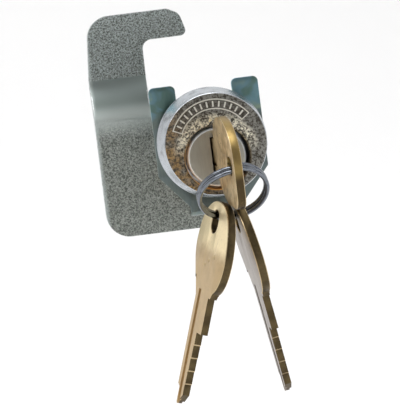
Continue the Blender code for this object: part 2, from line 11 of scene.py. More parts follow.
import bmesh
import bpy
from mathutils import Matrix, Vector


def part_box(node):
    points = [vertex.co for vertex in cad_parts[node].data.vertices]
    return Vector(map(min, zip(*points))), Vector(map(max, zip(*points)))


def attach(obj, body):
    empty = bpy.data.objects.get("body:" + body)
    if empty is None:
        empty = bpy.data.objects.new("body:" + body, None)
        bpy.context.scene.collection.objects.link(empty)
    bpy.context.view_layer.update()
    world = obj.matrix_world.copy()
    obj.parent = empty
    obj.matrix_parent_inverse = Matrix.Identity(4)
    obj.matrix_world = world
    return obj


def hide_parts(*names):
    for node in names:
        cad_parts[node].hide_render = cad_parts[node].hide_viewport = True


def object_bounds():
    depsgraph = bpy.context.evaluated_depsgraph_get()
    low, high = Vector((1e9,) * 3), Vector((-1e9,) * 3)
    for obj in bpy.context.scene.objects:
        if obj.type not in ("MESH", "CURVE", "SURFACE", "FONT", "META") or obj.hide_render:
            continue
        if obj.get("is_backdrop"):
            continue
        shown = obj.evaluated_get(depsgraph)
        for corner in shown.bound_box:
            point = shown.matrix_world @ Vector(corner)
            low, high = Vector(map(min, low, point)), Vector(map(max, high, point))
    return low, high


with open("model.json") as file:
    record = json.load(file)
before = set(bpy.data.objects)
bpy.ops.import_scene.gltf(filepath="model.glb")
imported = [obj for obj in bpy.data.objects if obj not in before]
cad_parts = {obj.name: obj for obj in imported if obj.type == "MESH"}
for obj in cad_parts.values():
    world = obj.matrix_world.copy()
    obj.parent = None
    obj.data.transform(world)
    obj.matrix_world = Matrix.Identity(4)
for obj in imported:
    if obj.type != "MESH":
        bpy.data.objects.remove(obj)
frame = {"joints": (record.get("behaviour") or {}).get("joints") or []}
cad_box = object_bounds()

MM = 0.001
JOINTS = {joint["name"]: joint for joint in frame["joints"]}

# Head, barrel and plug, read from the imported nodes
body_low, body_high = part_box("lock_body")
BARREL_AXIS_Z = (body_low.z + body_high.z) / 2
SEAT_RADIUS = (body_high.x - body_low.x) / 2
HEAD_HEIGHT = -body_low.y
BARREL_LENGTH = body_high.y
FACE_RADIUS = SEAT_RADIUS - 1.2 * MM
RIM_ROUND = 0.45 * MM
SEAT_BAND = 0.6 * MM
BARREL_RADIUS = 9.525 * MM
BARREL_HALF_FLAT = 7.95 * MM
CORD = 0.3 * MM
PLAQUE_INNER = 8.6 * MM
PLAQUE_OUTER = 11.2 * MM
PLAQUE_START = math.radians(36)
PLAQUE_END = math.radians(157)
PLAQUE_PROUD = 0.22 * MM
PLAQUE_RIBS = 13

plug_low, plug_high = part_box("plug")
PLUG_AXIS_Z = (plug_low.z + plug_high.z) / 2
PLUG_DROP = BARREL_AXIS_Z - PLUG_AXIS_Z
PLUG_HEAD_RADIUS = (plug_high.x - plug_low.x) / 2
PLUG_HEAD_BORE_RADIUS = PLUG_HEAD_RADIUS + 0.7 * MM
PLUG_HEAD_FRONT = -plug_low.y
PLUG_HEAD_BACK = 1.3 * MM
PLUG_HEAD_BEVEL = 0.7 * MM
PLUG_SHOULDER = 1.0 * MM
PLUG_RADIUS = 5.7 * MM
PLUG_BORE_RADIUS = 5.85 * MM
PLUG_BACK = -BARREL_LENGTH - 0.6 * MM
SQUARE_HALF = 3.2 * MM
SQUARE_CORNER_CUT = 0.5 * MM
SQUARE_BACK = PLUG_BACK - 3.7 * MM
STUD_BACK = -plug_high.y
STUD_RADIUS = 2.6 * MM
THREAD_PITCH = 0.8 * MM
THREAD_DEPTH = 0.35 * MM
GAP = 0.3 * MM

# Keys
key_low, key_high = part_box("inserted_key")
KEY_OFFSET = (key_low.x + key_high.x) / 2
KEY_THICKNESS = key_high.x - key_low.x
KEY_SEAT = PLUG_HEAD_FRONT + 1.5 * MM
BLADE_LENGTH = key_high.y + KEY_SEAT
BOW_LENGTH = -key_low.y - KEY_SEAT
BLADE_HALF = 4.15 * MM
BLADE_CENTRE = 0.65 * MM
BOW_HALF = 10.2 * MM
BOW_NECK = 0.16
BOW_BACK_CORNER = (-21.5 * MM, -10.2 * MM, 3.2 * MM)
SPARE_BACK_CORNER = (-21.5 * MM, -8.6 * MM, 9.5 * MM)
BOW_BACK_BELLY = (-9.0 * MM, -10.45 * MM, 9.0 * MM)
BOW_BACK_END = 1.3 * MM
BOW_CENTRE = -0.1 * MM
RING_HOLE_FROM_END = 4.9 * MM
RING_HOLE_CENTRE = -0.6 * MM
RING_HOLE_HALF_WIDTH = 2.1 * MM
RING_HOLE_HALF_LENGTH = 2.75 * MM
CUT_DEPTH_FIRST = 2.9 * MM
CUT_DEPTH_STEP = 0.25 * MM
CUT_SLOPE = 0.35 * MM
SHOULDER_STEP = 1.1 * MM
BLADE_THICKNESS = 1.66 * MM
TIP_LENGTH = 4.3 * MM
TIP_BACK = -2.9 * MM
TIP_SLANT = 3.0 * MM
MILLING_BACK = -3.1 * MM
MILLING_FRONT = -0.9 * MM
KEY_GROOVE_DEPTH = 0.6 * MM
KEY_GROOVE_START = -0.6 * MM
KEY_EDGE_ROUND = 0.16 * MM
HANG_SAG = -1.6 * MM

# Pin stacks
PIN_COUNT = 5
pin_1_low, pin_1_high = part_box("key_pin_1")
pin_2_low, pin_2_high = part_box("key_pin_2")
PIN_FIRST_Y = (pin_1_low.y + pin_1_high.y) / 2
PIN_PITCH = pin_2_low.y - pin_1_low.y
CHAMBER_RADIUS = 1.55 * MM
CHAMBER_FLOOR = 0.3 * MM

# Cam: the bent middle, about the barrel axis
CAM_BEND_LOW = 5.3 * MM
CAM_BEND_HIGH = 17.9 * MM

# Lighting and stage
BACKDROP_WHITE = 0.96
FLOOR_DROP = 60 * MM
CAMERA_PLACE = Vector((-41, -236, 15)) * MM
CAMERA_ROLL = math.radians(7.18)
CAMERA_LENS = 84.24
CAMERA_SHIFT = (("shift_x", 0.4075), ("shift_y", -0.365))
SHIFT_FADE = 20 * MM

LOCK_PLANE = Matrix.Translation((0, 0, BARREL_AXIS_Z)) @ Matrix.Rotation(math.pi / 2, 4, "X")
PLUG_PLANE = Matrix.Translation((0, 0, PLUG_AXIS_Z)) @ Matrix.Rotation(math.pi / 2, 4, "X")


# ---------------------------------------------------------------- outlines

def arc(centre, radius, start, end, steps):
    """Points on an arc about a centre, angles in radians, both ends included."""
    points = []
    for i in range(steps + 1):
        angle = start + (end - start) * i / steps
        points.append((centre[0] + radius * math.cos(angle), centre[1] + radius * math.sin(angle)))
    return points


def circle(radius, steps):
    return arc((0, 0), radius, 0, 2 * math.pi, steps)[:-1]


def box_outline(x0, x1, y0, y1):
    return [(x0, y0), (x1, y0), (x1, y1), (x0, y1)]


def sector(inner, outer, start, end, steps):
    return arc((0, 0), outer, start, end, steps) + arc((0, 0), inner, end, start, steps)


def rounded(corners, steps):
    """Corners given as (x, y, radius), with each radius drawn as an arc."""
    points = []
    count = len(corners)
    for i, (x, y, radius) in enumerate(corners):
        here = Vector((x, y))
        before = (Vector(corners[i - 1][:2]) - here).normalized()
        after = (Vector(corners[(i + 1) % count][:2]) - here).normalized()
        if radius == 0:
            points.append((x, y))
            continue
        half = before.angle(after) / 2
        centre = here + (before + after).normalized() * (radius / math.sin(half))
        first = here + before * (radius / math.tan(half)) - centre
        last = here + after * (radius / math.tan(half)) - centre
        sweep = first.angle_signed(last)
        for k in range(steps + 1):
            points.append(tuple(centre + Matrix.Rotation(-sweep * k / steps, 2) @ first))
    return points


# ---------------------------------------------------------------- meshes

def evaluated_mesh(obj):
    """The mesh that an object's modifiers or curve settings make; the object is removed."""
    depsgraph = bpy.context.evaluated_depsgraph_get()
    mesh = bpy.data.meshes.new_from_object(obj.evaluated_get(depsgraph), depsgraph=depsgraph)
    bpy.data.objects.remove(obj)
    return mesh


def linked(name, data):
    obj = bpy.data.objects.new(name, data)
    bpy.context.scene.collection.objects.link(obj)
    return obj


def welded(mesh, distance=1e-7):
    bm = bmesh.new()
    bm.from_mesh(mesh)
    bmesh.ops.remove_doubles(bm, verts=bm.verts, dist=distance)
    bmesh.ops.recalc_face_normals(bm, faces=bm.faces)
    bm.to_mesh(mesh)
    bm.free()
    return mesh


def plate(outlines, front, thickness, edge=0.0):
    """A flat piece between front and front - thickness, its rims rounded by edge."""
    curve = bpy.data.curves.new("plate", "CURVE")
    curve.dimensions = "2D"
    curve.fill_mode = "BOTH"
    curve.extrude = thickness / 2 - edge
    curve.bevel_depth = edge
    curve.bevel_resolution = 1
    curve.offset = -edge
    for outline in outlines:
        spline = curve.splines.new("POLY")
        spline.points.add(len(outline) - 1)
        for point, (x, y) in zip(spline.points, outline):
            point.co = (x, y, 0, 1)
        spline.use_cyclic_u = True
    mesh = evaluated_mesh(linked("plate", curve))
    mesh.transform(Matrix.Translation((0, 0, front - thickness / 2)))
    return welded(mesh)


def turned(profile, steps):
    """A profile of (radius, z) points turned about Z; it starts and ends on the axis."""
    mesh = bpy.data.meshes.new("turned")
    mesh.from_pydata([(r, 0, z) for r, z in profile], [(i, i + 1) for i in range(len(profile) - 1)], [])
    obj = linked("turned", mesh)
    screw = obj.modifiers.new("turn", "SCREW")
    screw.steps = steps
    screw.render_steps = steps
    screw.use_merge_vertices = True
    screw.merge_threshold = 1e-6
    return welded(evaluated_mesh(obj))


def wire(points, radius, sides):
    """A round wire through the points, with closed ends."""
    curve = bpy.data.curves.new("wire", "CURVE")
    curve.dimensions = "3D"
    curve.bevel_depth = radius
    curve.bevel_resolution = sides
    curve.use_fill_caps = True
    spline = curve.splines.new("POLY")
    spline.points.add(len(points) - 1)
    for point, place in zip(spline.points, points):
        point.co = (*place, 1)
    return welded(evaluated_mesh(linked("wire", curve)))


def helix(radius, turns, low, high, per_turn):
    count = round(turns * per_turn)
    points = []
    for k in range(count + 1):
        angle = 2 * math.pi * k / per_turn
        points.append((radius * math.cos(angle), radius * math.sin(angle), low + (high - low) * k / count))
    return points


def combined(mesh, steps):
    """The mesh after a list of ("DIFFERENCE" or "UNION", other mesh) steps."""
    work = linked("work", mesh)
    tools = []
    for operation, other in steps:
        tool = linked("tool", other)
        tools.append(tool)
        change = work.modifiers.new(operation, "BOOLEAN")
        change.operation = operation
        change.solver = "EXACT"
        change.object = tool
    result = evaluated_mesh(work)
    for tool in tools:
        bpy.data.objects.remove(tool)
    return welded(result)


def moved(mesh, matrix):
    mesh.transform(matrix)
    return mesh


def add_piece(name, mesh, place, body, nodes, looks, choose=None):
    """Places a drawn mesh in the row frame and hands it to the body it rides on."""
    points = [value for vertex in mesh.vertices for value in vertex.co]
    mesh.attributes.new("drawn", "FLOAT_VECTOR", "POINT").data.foreach_set("vector", points)
    mesh.materials.clear()
    for look in looks:
        mesh.materials.append(look)
    for face in mesh.polygons:
        face.material_index = choose(face.center, face.normal) if choose else 0
    mesh.shade_smooth()
    mesh.set_sharp_from_angle(angle=math.radians(32))
    mesh.transform(place)
    piece = linked(name, mesh)
    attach(piece, body)
    if nodes:
        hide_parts(*nodes)
    return piece


# ---------------------------------------------------------------- materials

class Look:
    """A Principled material with short names for the nodes that drive it."""

    def __init__(self, name, metallic=1.0):
        self.material = bpy.data.materials.new(name)
        self.material.use_nodes = True
        self.tree = self.material.node_tree
        self.shader = self.tree.nodes["Principled BSDF"]
        self.shader.inputs["Metallic"].default_value = metallic
        self.drawn = self.add("ShaderNodeAttribute", {}, attribute_name="drawn").outputs["Vector"]
        axes = self.add("ShaderNodeSeparateXYZ", {0: self.drawn})
        self.x, self.y, self.z = axes.outputs

    def add(self, kind, inputs, **settings):
        node = self.tree.nodes.new(kind)
        for name, value in settings.items():
            setattr(node, name, value)
        for key, value in inputs.items():
            self.feed(node.inputs[key], value)
        return node

    def feed(self, socket, value):
        if isinstance(value, bpy.types.NodeSocket):
            self.tree.links.new(value, socket)
        elif socket.type == "RGBA":
            socket.default_value = (*value, 1)
        else:
            socket.default_value = value

    def math(self, operation, a, b=0.0, clamp=False):
        node = self.add("ShaderNodeMath", {0: a, 1: b}, operation=operation)
        node.use_clamp = clamp
        return node.outputs[0]

    def stretched(self, stretch):
        node = self.add("ShaderNodeVectorMath", {0: self.drawn, 1: stretch}, operation="MULTIPLY")
        return node.outputs[0]

    def noise(self, size, detail=3.0, stretch=None, distortion=0.0):
        """Noise between 0 and 1 whose lumps are about the given size in metres."""
        where = self.stretched(stretch) if stretch else self.drawn
        inputs = {"Vector": where, "Scale": 1 / size, "Detail": detail, "Distortion": distortion}
        return self.add("ShaderNodeTexNoise", inputs).outputs["Fac"]

    def cells(self, size, smoothness=0.4, stretch=None):
        where = self.stretched(stretch) if stretch else self.drawn
        inputs = {"Vector": where, "Scale": 1 / size, "Smoothness": smoothness}
        return self.add("ShaderNodeTexVoronoi", inputs, feature="SMOOTH_F1").outputs["Distance"]

    def between(self, value, low, high):
        """0 at low, 1 at high, with a soft start and end."""
        inputs = {"Value": value, "From Min": low, "From Max": high}
        return self.add("ShaderNodeMapRange", inputs, interpolation_type="SMOOTHSTEP").outputs[0]

    def mix(self, share, a, b):
        node = self.add("ShaderNodeMix", {}, data_type="RGBA")
        for socket, value in zip((node.inputs[0], node.inputs[6], node.inputs[7]), (share, a, b)):
            self.feed(socket, value)
        return node.outputs[2]

    def colour(self, value):
        self.feed(self.shader.inputs["Base Color"], value)

    def roughness(self, share, low, high):
        node = self.add("ShaderNodeMapRange", {"Value": share, "To Min": low, "To Max": high})
        self.feed(self.shader.inputs["Roughness"], node.outputs[0])

    def bump(self, height, depth):
        """A relief of the given depth in metres, where height runs from 0 to 1."""
        inputs = {"Strength": 1.0, "Distance": depth, "Height": height}
        node = self.add("ShaderNodeBump", inputs)
        self.feed(self.shader.inputs["Normal"], node.outputs["Normal"])


def antique_face():
    """Cast pewter finish: mottled metal, rubbed bright where it stands proud, gold at the lower left, and a
    painted highlight on the crests just above the bore.
    """
    look = Look("head_antique")
    lumps = look.noise(0.7 * MM, 2.0, distortion=0.4)
    specks = look.noise(0.35 * MM, 2.0)
    patches = look.noise(3.2 * MM, 3.0)
    mottle = look.math("ADD", look.math("MULTIPLY", lumps, 0.7), look.math("MULTIPLY", specks, 0.3))
    crest = look.between(mottle, 0.36, 0.64)
    silver = look.mix(patches, (0.36, 0.35, 0.31), (0.23, 0.23, 0.215))
    side = look.math("ADD", look.math("MULTIPLY", look.x, -1.0), look.math("MULTIPLY", look.y, -0.5))
    warm = look.math("MULTIPLY", look.between(side, 0, 12 * MM), look.between(patches, 0.25, 0.55))
    crests = look.mix(look.math("MULTIPLY", warm, 0.9), silver, (0.40, 0.25, 0.10))
    # Painted highlight: crests within a few millimetres above the bore are lightened to cream.
    up = look.math("ADD", look.y, PLUG_DROP)
    squares = look.math("ADD", look.math("POWER", look.x, 2.0), look.math("POWER", up, 2.0))
    far, near = PLUG_HEAD_BORE_RADIUS + 3.6 * MM, PLUG_HEAD_BORE_RADIUS + 1.8 * MM
    bore_top_painted_highlight = look.between(look.math("SQRT", squares), far, near)
    bore_top_painted_highlight = look.math("MULTIPLY", bore_top_painted_highlight, look.between(up, 0, 5 * MM))
    crests = look.mix(look.math("MULTIPLY", bore_top_painted_highlight, 0.9), crests, (1.0, 0.95, 0.78))
    base = look.mix(crest, (0.085, 0.078, 0.066), crests)
    base = look.mix(look.math("MULTIPLY", inside_plaque(look), 0.5), base, (0.09, 0.08, 0.065))
    proud = look.between(look.z, HEAD_HEIGHT + 0.04 * MM, HEAD_HEIGHT + 0.14 * MM)
    look.colour(look.mix(look.math("MULTIPLY", proud, 0.85), base, (0.86, 0.84, 0.76)))
    look.roughness(crest, 0.58, 0.32)
    look.bump(crest, 0.05 * MM)
    return look.material


def inside_plaque(look):
    """1 within the plaque's outline, 0 elsewhere on the face."""
    squares = look.math("ADD", look.math("POWER", look.x, 2.0), look.math("POWER", look.y, 2.0))
    radius = look.math("SQRT", squares)
    angle = look.math("ARCTAN2", look.y, look.x)
    inside = look.math("MULTIPLY", look.math("GREATER_THAN", radius, PLAQUE_INNER),
                       look.math("LESS_THAN", radius, PLAQUE_OUTER))
    swept = look.math("MULTIPLY", look.math("GREATER_THAN", angle, PLAQUE_START),
                      look.math("LESS_THAN", angle, PLAQUE_END))
    return look.math("MULTIPLY", inside, swept)


def bore_edge():
    """The bore's broken edge and wall: painted shade, with a painted gold reflection at the lower left."""
    look = Look("bore_edge")
    stains = look.noise(0.9 * MM, 3.0)
    side = look.math("ADD", look.math("MULTIPLY", look.x, -0.8), look.math("MULTIPLY", look.y, -1.0))
    painted_gold_reflection = look.between(look.math("ADD", side, look.math("MULTIPLY", stains, 2 * MM)), 3.6 * MM, 7.2 * MM)
    # Painted shade on the bore wall, turning to a painted gold reflection at the lower left.
    look.colour(look.mix(painted_gold_reflection, (0.10, 0.09, 0.075), (1.0, 0.61, 0.23)))
    look.roughness(stains, 0.22, 0.40)
    look.bump(stains, 0.02 * MM)
    return look.material


def turned_steel(name, colour, line_size, low, high):
    """Bright turned metal: fine rings round Z with soft stains over them."""
    look = Look(name)
    rings = look.noise(line_size, 3.0, stretch=(0.06, 0.06, 1.0))
    stains = look.noise(2.2 * MM, 3.0)
    dull = tuple(0.55 * part for part in colour)
    look.colour(look.mix(look.between(stains, 0.48, 0.75), colour, dull))
    look.roughness(look.math("MULTIPLY", look.math("ADD", rings, stains), 0.5), low, high)
    look.bump(rings, 0.012 * MM)
    return look.material


def zinc(name, colour, stain, grain=0.35 * MM):
    """Plated steel with a faint crystal mottle."""
    look = Look(name)
    mottle = look.cells(grain)
    patches = look.noise(2.8 * MM, 4.0)
    look.colour(look.mix(look.between(patches, 0.42, 0.72), colour, stain))
    look.roughness(look.math("MULTIPLY", look.math("ADD", mottle, patches), 0.6), 0.24, 0.5)
    look.bump(mottle, 0.015 * MM)
    return look.material


def brushed_plug_face():
    """Warm nickel brushed up and down."""
    look = Look("plug_brushed")
    strokes = look.noise(0.16 * MM, 3.0, stretch=(1.0, 0.04, 1.0))
    patches = look.noise(3.0 * MM, 3.0)
    base = look.mix(patches, (0.40, 0.39, 0.335), (0.50, 0.48, 0.42))
    look.colour(look.mix(look.math("MULTIPLY", strokes, 0.6), base, (0.25, 0.225, 0.19)))
    look.roughness(strokes, 0.30, 0.52)
    look.bump(strokes, 0.02 * MM)
    return look.material


def plug_bevel_painted_highlight():
    """The plug head's rolled rim: a painted highlight, near-white satin metal that shows bright from every
    side.
    """
    look = Look("plug_bevel_painted_highlight", metallic=0.2)
    rings = look.noise(0.12 * MM, 3.0, stretch=(0.06, 0.06, 1.0))
    # Painted highlight: a near-white colour stands in for the ring of light on the rim.
    look.colour(look.mix(rings, (0.84, 0.87, 0.88), (0.94, 0.96, 0.96)))
    look.roughness(rings, 0.25, 0.42)
    look.bump(rings, 0.008 * MM)
    return look.material


def grained_cam():
    """Tumbled steel with a leathery grain that fades out on the bent middle, where painted light and shade
    lie in bands, and a painted highlight along the left edge.
    """
    look = Look("cam_grain")
    lumps = look.noise(0.42 * MM, 1.5, distortion=0.6)
    fine = look.noise(0.22 * MM, 1.0)
    sum_of_both = look.math("ADD", look.math("MULTIPLY", lumps, 0.72), look.math("MULTIPLY", fine, 0.28))
    relief = look.between(sum_of_both, 0.36, 0.64)
    fade_in = look.between(look.y, CAM_BEND_LOW + 3.5 * MM, CAM_BEND_LOW - 5 * MM)
    above = look.math("GREATER_THAN", look.y, CAM_BEND_HIGH)
    grained = look.math("MAXIMUM", fade_in, above)
    patches = look.noise(7 * MM, 3.0)
    # Painted light and shade on the bent middle: bright by the lower bend, dark mid-slope, mid grey by the
    # upper bend.
    top_bend_painted_shade = look.between(look.y, CAM_BEND_HIGH - 6.4 * MM, CAM_BEND_HIGH - 2.4 * MM)
    low_bend_painted_highlight = look.between(look.y, CAM_BEND_LOW + 6.1 * MM, CAM_BEND_LOW + 0.7 * MM)
    bend_painted_light_and_shade = look.mix(low_bend_painted_highlight, (0.17, 0.20, 0.19), (0.60, 0.66, 0.64))
    bend_painted_light_and_shade = look.mix(top_bend_painted_shade, bend_painted_light_and_shade, (0.27, 0.315, 0.305))
    crests = look.mix(patches, (0.33, 0.355, 0.325), (0.40, 0.425, 0.39))
    crests = look.mix(above, crests, (0.40, 0.445, 0.435))
    rough = look.mix(relief, (0.10, 0.11, 0.10), crests)
    metal = look.mix(grained, bend_painted_light_and_shade, rough)
    # Painted highlight: a lighter band along the cam's left edge, where its rolled edge catches the light.
    across = look.math("ADD", look.x, look.math("MULTIPLY", patches, 1.2 * MM))
    left_edge_painted_highlight = look.between(across, -25.4 * MM, -26.5 * MM)
    look.colour(look.mix(look.math("MULTIPLY", left_edge_painted_highlight, 0.6), metal, (0.50, 0.55, 0.54)))
    look.roughness(look.math("MULTIPLY", relief, grained), 0.42, 0.55)
    look.bump(look.math("MULTIPLY", relief, grained), 0.07 * MM)
    return look.material


def cam_edge():
    """The cam's rolled rim, coloured brighter than its faces."""
    look = Look("cam_rim")
    nicks = look.noise(0.9 * MM, 3.0)
    look.colour(look.mix(look.between(nicks, 0.45, 0.7), (0.58, 0.61, 0.61), (0.34, 0.36, 0.35)))
    look.roughness(nicks, 0.26, 0.46)
    look.bump(nicks, 0.03 * MM)
    return look.material


def passivated_clip(name, light):
    """Blue-green passivated zinc: teal on the two upright ends, greyer round the barrel, with painted shade
    on the right arm and the bottom; light scales every tint, and above 1 gives a painted-highlight copy.
    """
    look = Look(name)
    drift = look.noise(5.5 * MM, 2.0, distortion=0.7)
    streaks = look.noise(0.5 * MM, 3.0, stretch=(1.0, 0.15, 1.0))
    deep, blue, green, grey = (
        tuple(part * light for part in tint)
        for tint in ((0.11, 0.205, 0.185), (0.15, 0.29, 0.35), (0.26, 0.36, 0.27), (0.17, 0.19, 0.175)))
    tint = look.mix(look.between(drift, 0.42, 0.56), deep, blue)
    tint = look.mix(look.between(drift, 0.55, 0.70), tint, green)
    body = look.between(look.math("ADD", look.y, look.math("MULTIPLY", drift, 6 * MM)), 13 * MM, 8 * MM)
    tint = look.mix(look.math("MULTIPLY", body, 0.8), tint, grey)
    # Painted shade: the right arm's lower part and the bottom of the clip are darkened towards near-black.
    right = look.math("MULTIPLY", look.between(look.x, 5 * MM, 9 * MM), body)
    painted_shade_mask = look.math("MAXIMUM", right, look.between(look.y, -4 * MM, -8 * MM))
    tint = look.mix(look.math("MULTIPLY", painted_shade_mask, 0.45), tint, (0.02, 0.022, 0.022))
    look.colour(look.mix(look.math("MULTIPLY", streaks, 0.25), tint, (0.32, 0.37, 0.36)))
    look.roughness(streaks, 0.26, 0.44)
    look.bump(streaks, 0.012 * MM)
    return look.material


def ring_wire():
    """Polished split-ring steel with rubbed patches."""
    look = Look("ring_wire")
    rub = look.noise(1.1 * MM, 3.0)
    look.colour(look.mix(look.between(rub, 0.50, 0.75), (0.185, 0.20, 0.225), (0.09, 0.10, 0.12)))
    look.roughness(rub, 0.09, 0.22)
    look.bump(rub, 0.01 * MM)
    return look.material


def spring_wire():
    look = Look("spring_wire")
    drawn_lines = look.noise(0.3 * MM, 2.0)
    look.colour(look.mix(drawn_lines, (0.62, 0.62, 0.64), (0.44, 0.44, 0.46)))
    look.roughness(drawn_lines, 0.18, 0.35)
    return look.material


def brass(name, fresh, aged, polish, tarnish=0.5, shift=None, metallic=1.0):
    """Key brass: long rolling lines, cloudy tarnish and pocket scratches.

    shift is (axis, from, to, colour): painted light and shade, the metal pushed to that colour along the
    axis.
    """
    look = Look(name, metallic)
    lines = look.noise(0.22 * MM, 3.0, stretch=(0.05, 1.0, 1.0))
    cloud = look.noise(2.6 * MM, 4.0, distortion=0.4)
    scratch = look.noise(0.35 * MM, 2.0, stretch=(0.35, 1.4, 1.0), distortion=1.2)
    spots = look.between(scratch, 0.60, 0.72)
    share = look.math("MULTIPLY", look.between(cloud, 0.38, 0.68), tarnish)
    base = look.mix(share, fresh, aged)
    # Painted light and shade: the colour in shift is laid on along one axis.
    if shift:
        axis, start, end, colour = shift
        along = look.math("ADD", (look.x, look.y)[axis], look.math("MULTIPLY", cloud, 2 * MM))
        base = look.mix(look.between(along, start, end), base, colour)
    look.colour(look.mix(look.math("MULTIPLY", spots, 0.45), base, aged))
    wear = look.math("MULTIPLY", look.math("ADD", lines, cloud), 0.5)
    look.roughness(wear, polish, polish + 0.22)
    look.bump(look.math("ADD", look.math("MULTIPLY", lines, 0.6), spots), 0.014 * MM)
    return look.material


def dark_hollow():
    """Painted shade: near-black metal deep in the keyway."""
    look = Look("keyway_dark")
    shade_mottle = look.noise(0.8 * MM, 3.0)
    look.colour(look.mix(shade_mottle, (0.03, 0.026, 0.022), (0.10, 0.085, 0.07)))
    look.roughness(shade_mottle, 0.45, 0.7)
    look.bump(shade_mottle, 0.02 * MM)
    return look.material


FACE = antique_face()
HEAD_SIDE = turned_steel("head_side", (0.51, 0.54, 0.57), 0.12 * MM, 0.16, 0.34)
BARREL = zinc("barrel_zinc", (0.50, 0.52, 0.52), (0.36, 0.37, 0.36))
BORE = bore_edge()
PLUG_FACE = brushed_plug_face()
PLUG_SIDE_PAINTED_HIGHLIGHT = plug_bevel_painted_highlight()
PLUG_TAIL = turned_steel("plug_tail", (0.56, 0.47, 0.33), 0.15 * MM, 0.26, 0.44)
KEYWAY = dark_hollow()
STEEL = turned_steel("hardware_steel", (0.60, 0.61, 0.62), 0.14 * MM, 0.22, 0.42)
CAM = grained_cam()
CAM_RIM = cam_edge()
CLIP = passivated_clip("clip_zinc", 1.0)
# Painted highlight: the clip's edges are its own tints made 1.7 times brighter.
CLIP_EDGE_LIT_COPY = passivated_clip("clip_edge_lit_copy", 1.7)
RING = ring_wire()
SPRING = spring_wire()
PIN = brass("pin_brass", (0.74, 0.55, 0.27), (0.46, 0.33, 0.15), 0.16)
# Painted light: the three keys are one brass, each face coloured as that key is lit, not as a brass of its
# own.
KEY_IN_FACE = brass("key_inserted_face", (0.70, 0.52, 0.28), (0.38, 0.26, 0.12), 0.20, 0.9, metallic=0.55)
# Painted highlight: the left key's bow turns pale gold towards its end.
KEY_LEFT_FACE = brass("key_left_face", (0.54, 0.395, 0.21), (0.46, 0.335, 0.185), 0.26, 0.5,
                      (0, -7.5 * MM, -11.5 * MM, (1.0, 0.84, 0.53)), metallic=0.75)
# Painted reflection: the right key's face is a grey-brown, the surroundings it mirrors.
KEY_RIGHT_FACE = brass("key_right_face", (0.33, 0.29, 0.255), (0.27, 0.245, 0.225), 0.24, 0.5)
# Painted light and shade: the inserted key's edges are a lit golden brass that darkens to painted shade on
# the lower side.
KEY_IN_EDGE = brass("key_inserted_edge", (0.33, 0.235, 0.09), (0.22, 0.155, 0.065), 0.28, 0.6,
                    (1, -0.5 * MM, -2.5 * MM, (0.085, 0.06, 0.03)))
# Painted reflection: the spare keys' edges are near-black brass, the dark surroundings they mirror.
KEY_EDGE_PAINTED_DARK = brass("key_edge_painted_dark", (0.115, 0.085, 0.042), (0.055, 0.04, 0.022), 0.32, 0.7)
# Painted highlight: the rounded rims and cut steps of every key are a paler brass.
KEY_RIM_PAINTED_HIGHLIGHT = brass("key_rim_painted_highlight", (0.60, 0.47, 0.28), (0.42, 0.31, 0.17), 0.18, 0.4)


# ---------------------------------------------------------------- head, barrel and plug

def pin_z(i):
    """Place of pin stack i in the lock plane; the CAD counts them away from the face."""
    return -(PIN_FIRST_Y + PIN_PITCH * i)


def chamber(i, low, high):
    """The upright hole for pin stack i, in the plug plane."""
    hole = turned([(0, high), (CHAMBER_RADIUS, high), (CHAMBER_RADIUS, low), (0, low)], 32)
    return moved(hole, Matrix.Translation((0, 0, pin_z(i))) @ Matrix.Rotation(-math.pi / 2, 4, "X"))


def raised(outlines):
    """A low relief on the head's face, rooted a little below it."""
    root = 0.25 * MM
    return plate(outlines, HEAD_HEIGHT + PLAQUE_PROUD, PLAQUE_PROUD + root, 0.07 * MM)


def plaque_band():
    """The closed raised line that frames the ribs."""
    steps = 36
    inset = CORD / PLAQUE_OUTER
    outside = sector(PLAQUE_INNER, PLAQUE_OUTER, PLAQUE_START, PLAQUE_END, steps)
    start, end = PLAQUE_START + inset, PLAQUE_END - inset
    inside = sector(PLAQUE_INNER + CORD, PLAQUE_OUTER - CORD, start, end, steps)
    return raised([outside, inside])


def plaque_rib(i):
    """One plain raised bar that points at the barrel axis."""
    middle = (PLAQUE_INNER + PLAQUE_OUTER) / 2
    half_length, half_width = 0.72 * MM, 0.2 * MM
    angle = PLAQUE_START + (PLAQUE_END - PLAQUE_START) * (i + 1) / (PLAQUE_RIBS + 1)
    bar = raised([rounded([(x, y, 0.12 * MM) for x, y in box_outline(
        middle - half_length, middle + half_length, -half_width, half_width)], 3)])
    return moved(bar, Matrix.Rotation(angle, 4, "Z"))


def head_profile():
    """Face, rounded rim, flared side and seat band, from the axis out and back."""
    rim = arc((FACE_RADIUS - RIM_ROUND, HEAD_HEIGHT - RIM_ROUND), RIM_ROUND, math.pi / 2, 0.2, 5)
    seat = arc((SEAT_RADIUS - 0.15 * MM, 0.15 * MM), 0.15 * MM, 0, -math.pi / 2, 3)
    band = [(SEAT_RADIUS - 0.1 * MM, SEAT_BAND), (SEAT_RADIUS, SEAT_BAND - 0.15 * MM)]
    return [(0, HEAD_HEIGHT)] + rim + band + seat + [(0, 0)]


def bore_profile():
    """Bores for the plug's head and body, with a broken edge at the face."""
    edge = 0.4 * MM
    over = 1 * MM
    return [
        (0, HEAD_HEIGHT + over),
        (PLUG_HEAD_BORE_RADIUS + edge + over, HEAD_HEIGHT + over),
        (PLUG_HEAD_BORE_RADIUS + edge, HEAD_HEIGHT),
        (PLUG_HEAD_BORE_RADIUS + 0.12 * MM, HEAD_HEIGHT - 0.7 * edge),
        (PLUG_HEAD_BORE_RADIUS, HEAD_HEIGHT - 1.2 * edge),
        (PLUG_HEAD_BORE_RADIUS, PLUG_SHOULDER),
        (PLUG_BORE_RADIUS, PLUG_SHOULDER),
        (PLUG_BORE_RADIUS, -BARREL_LENGTH - over),
        (0, -BARREL_LENGTH - over),
    ]


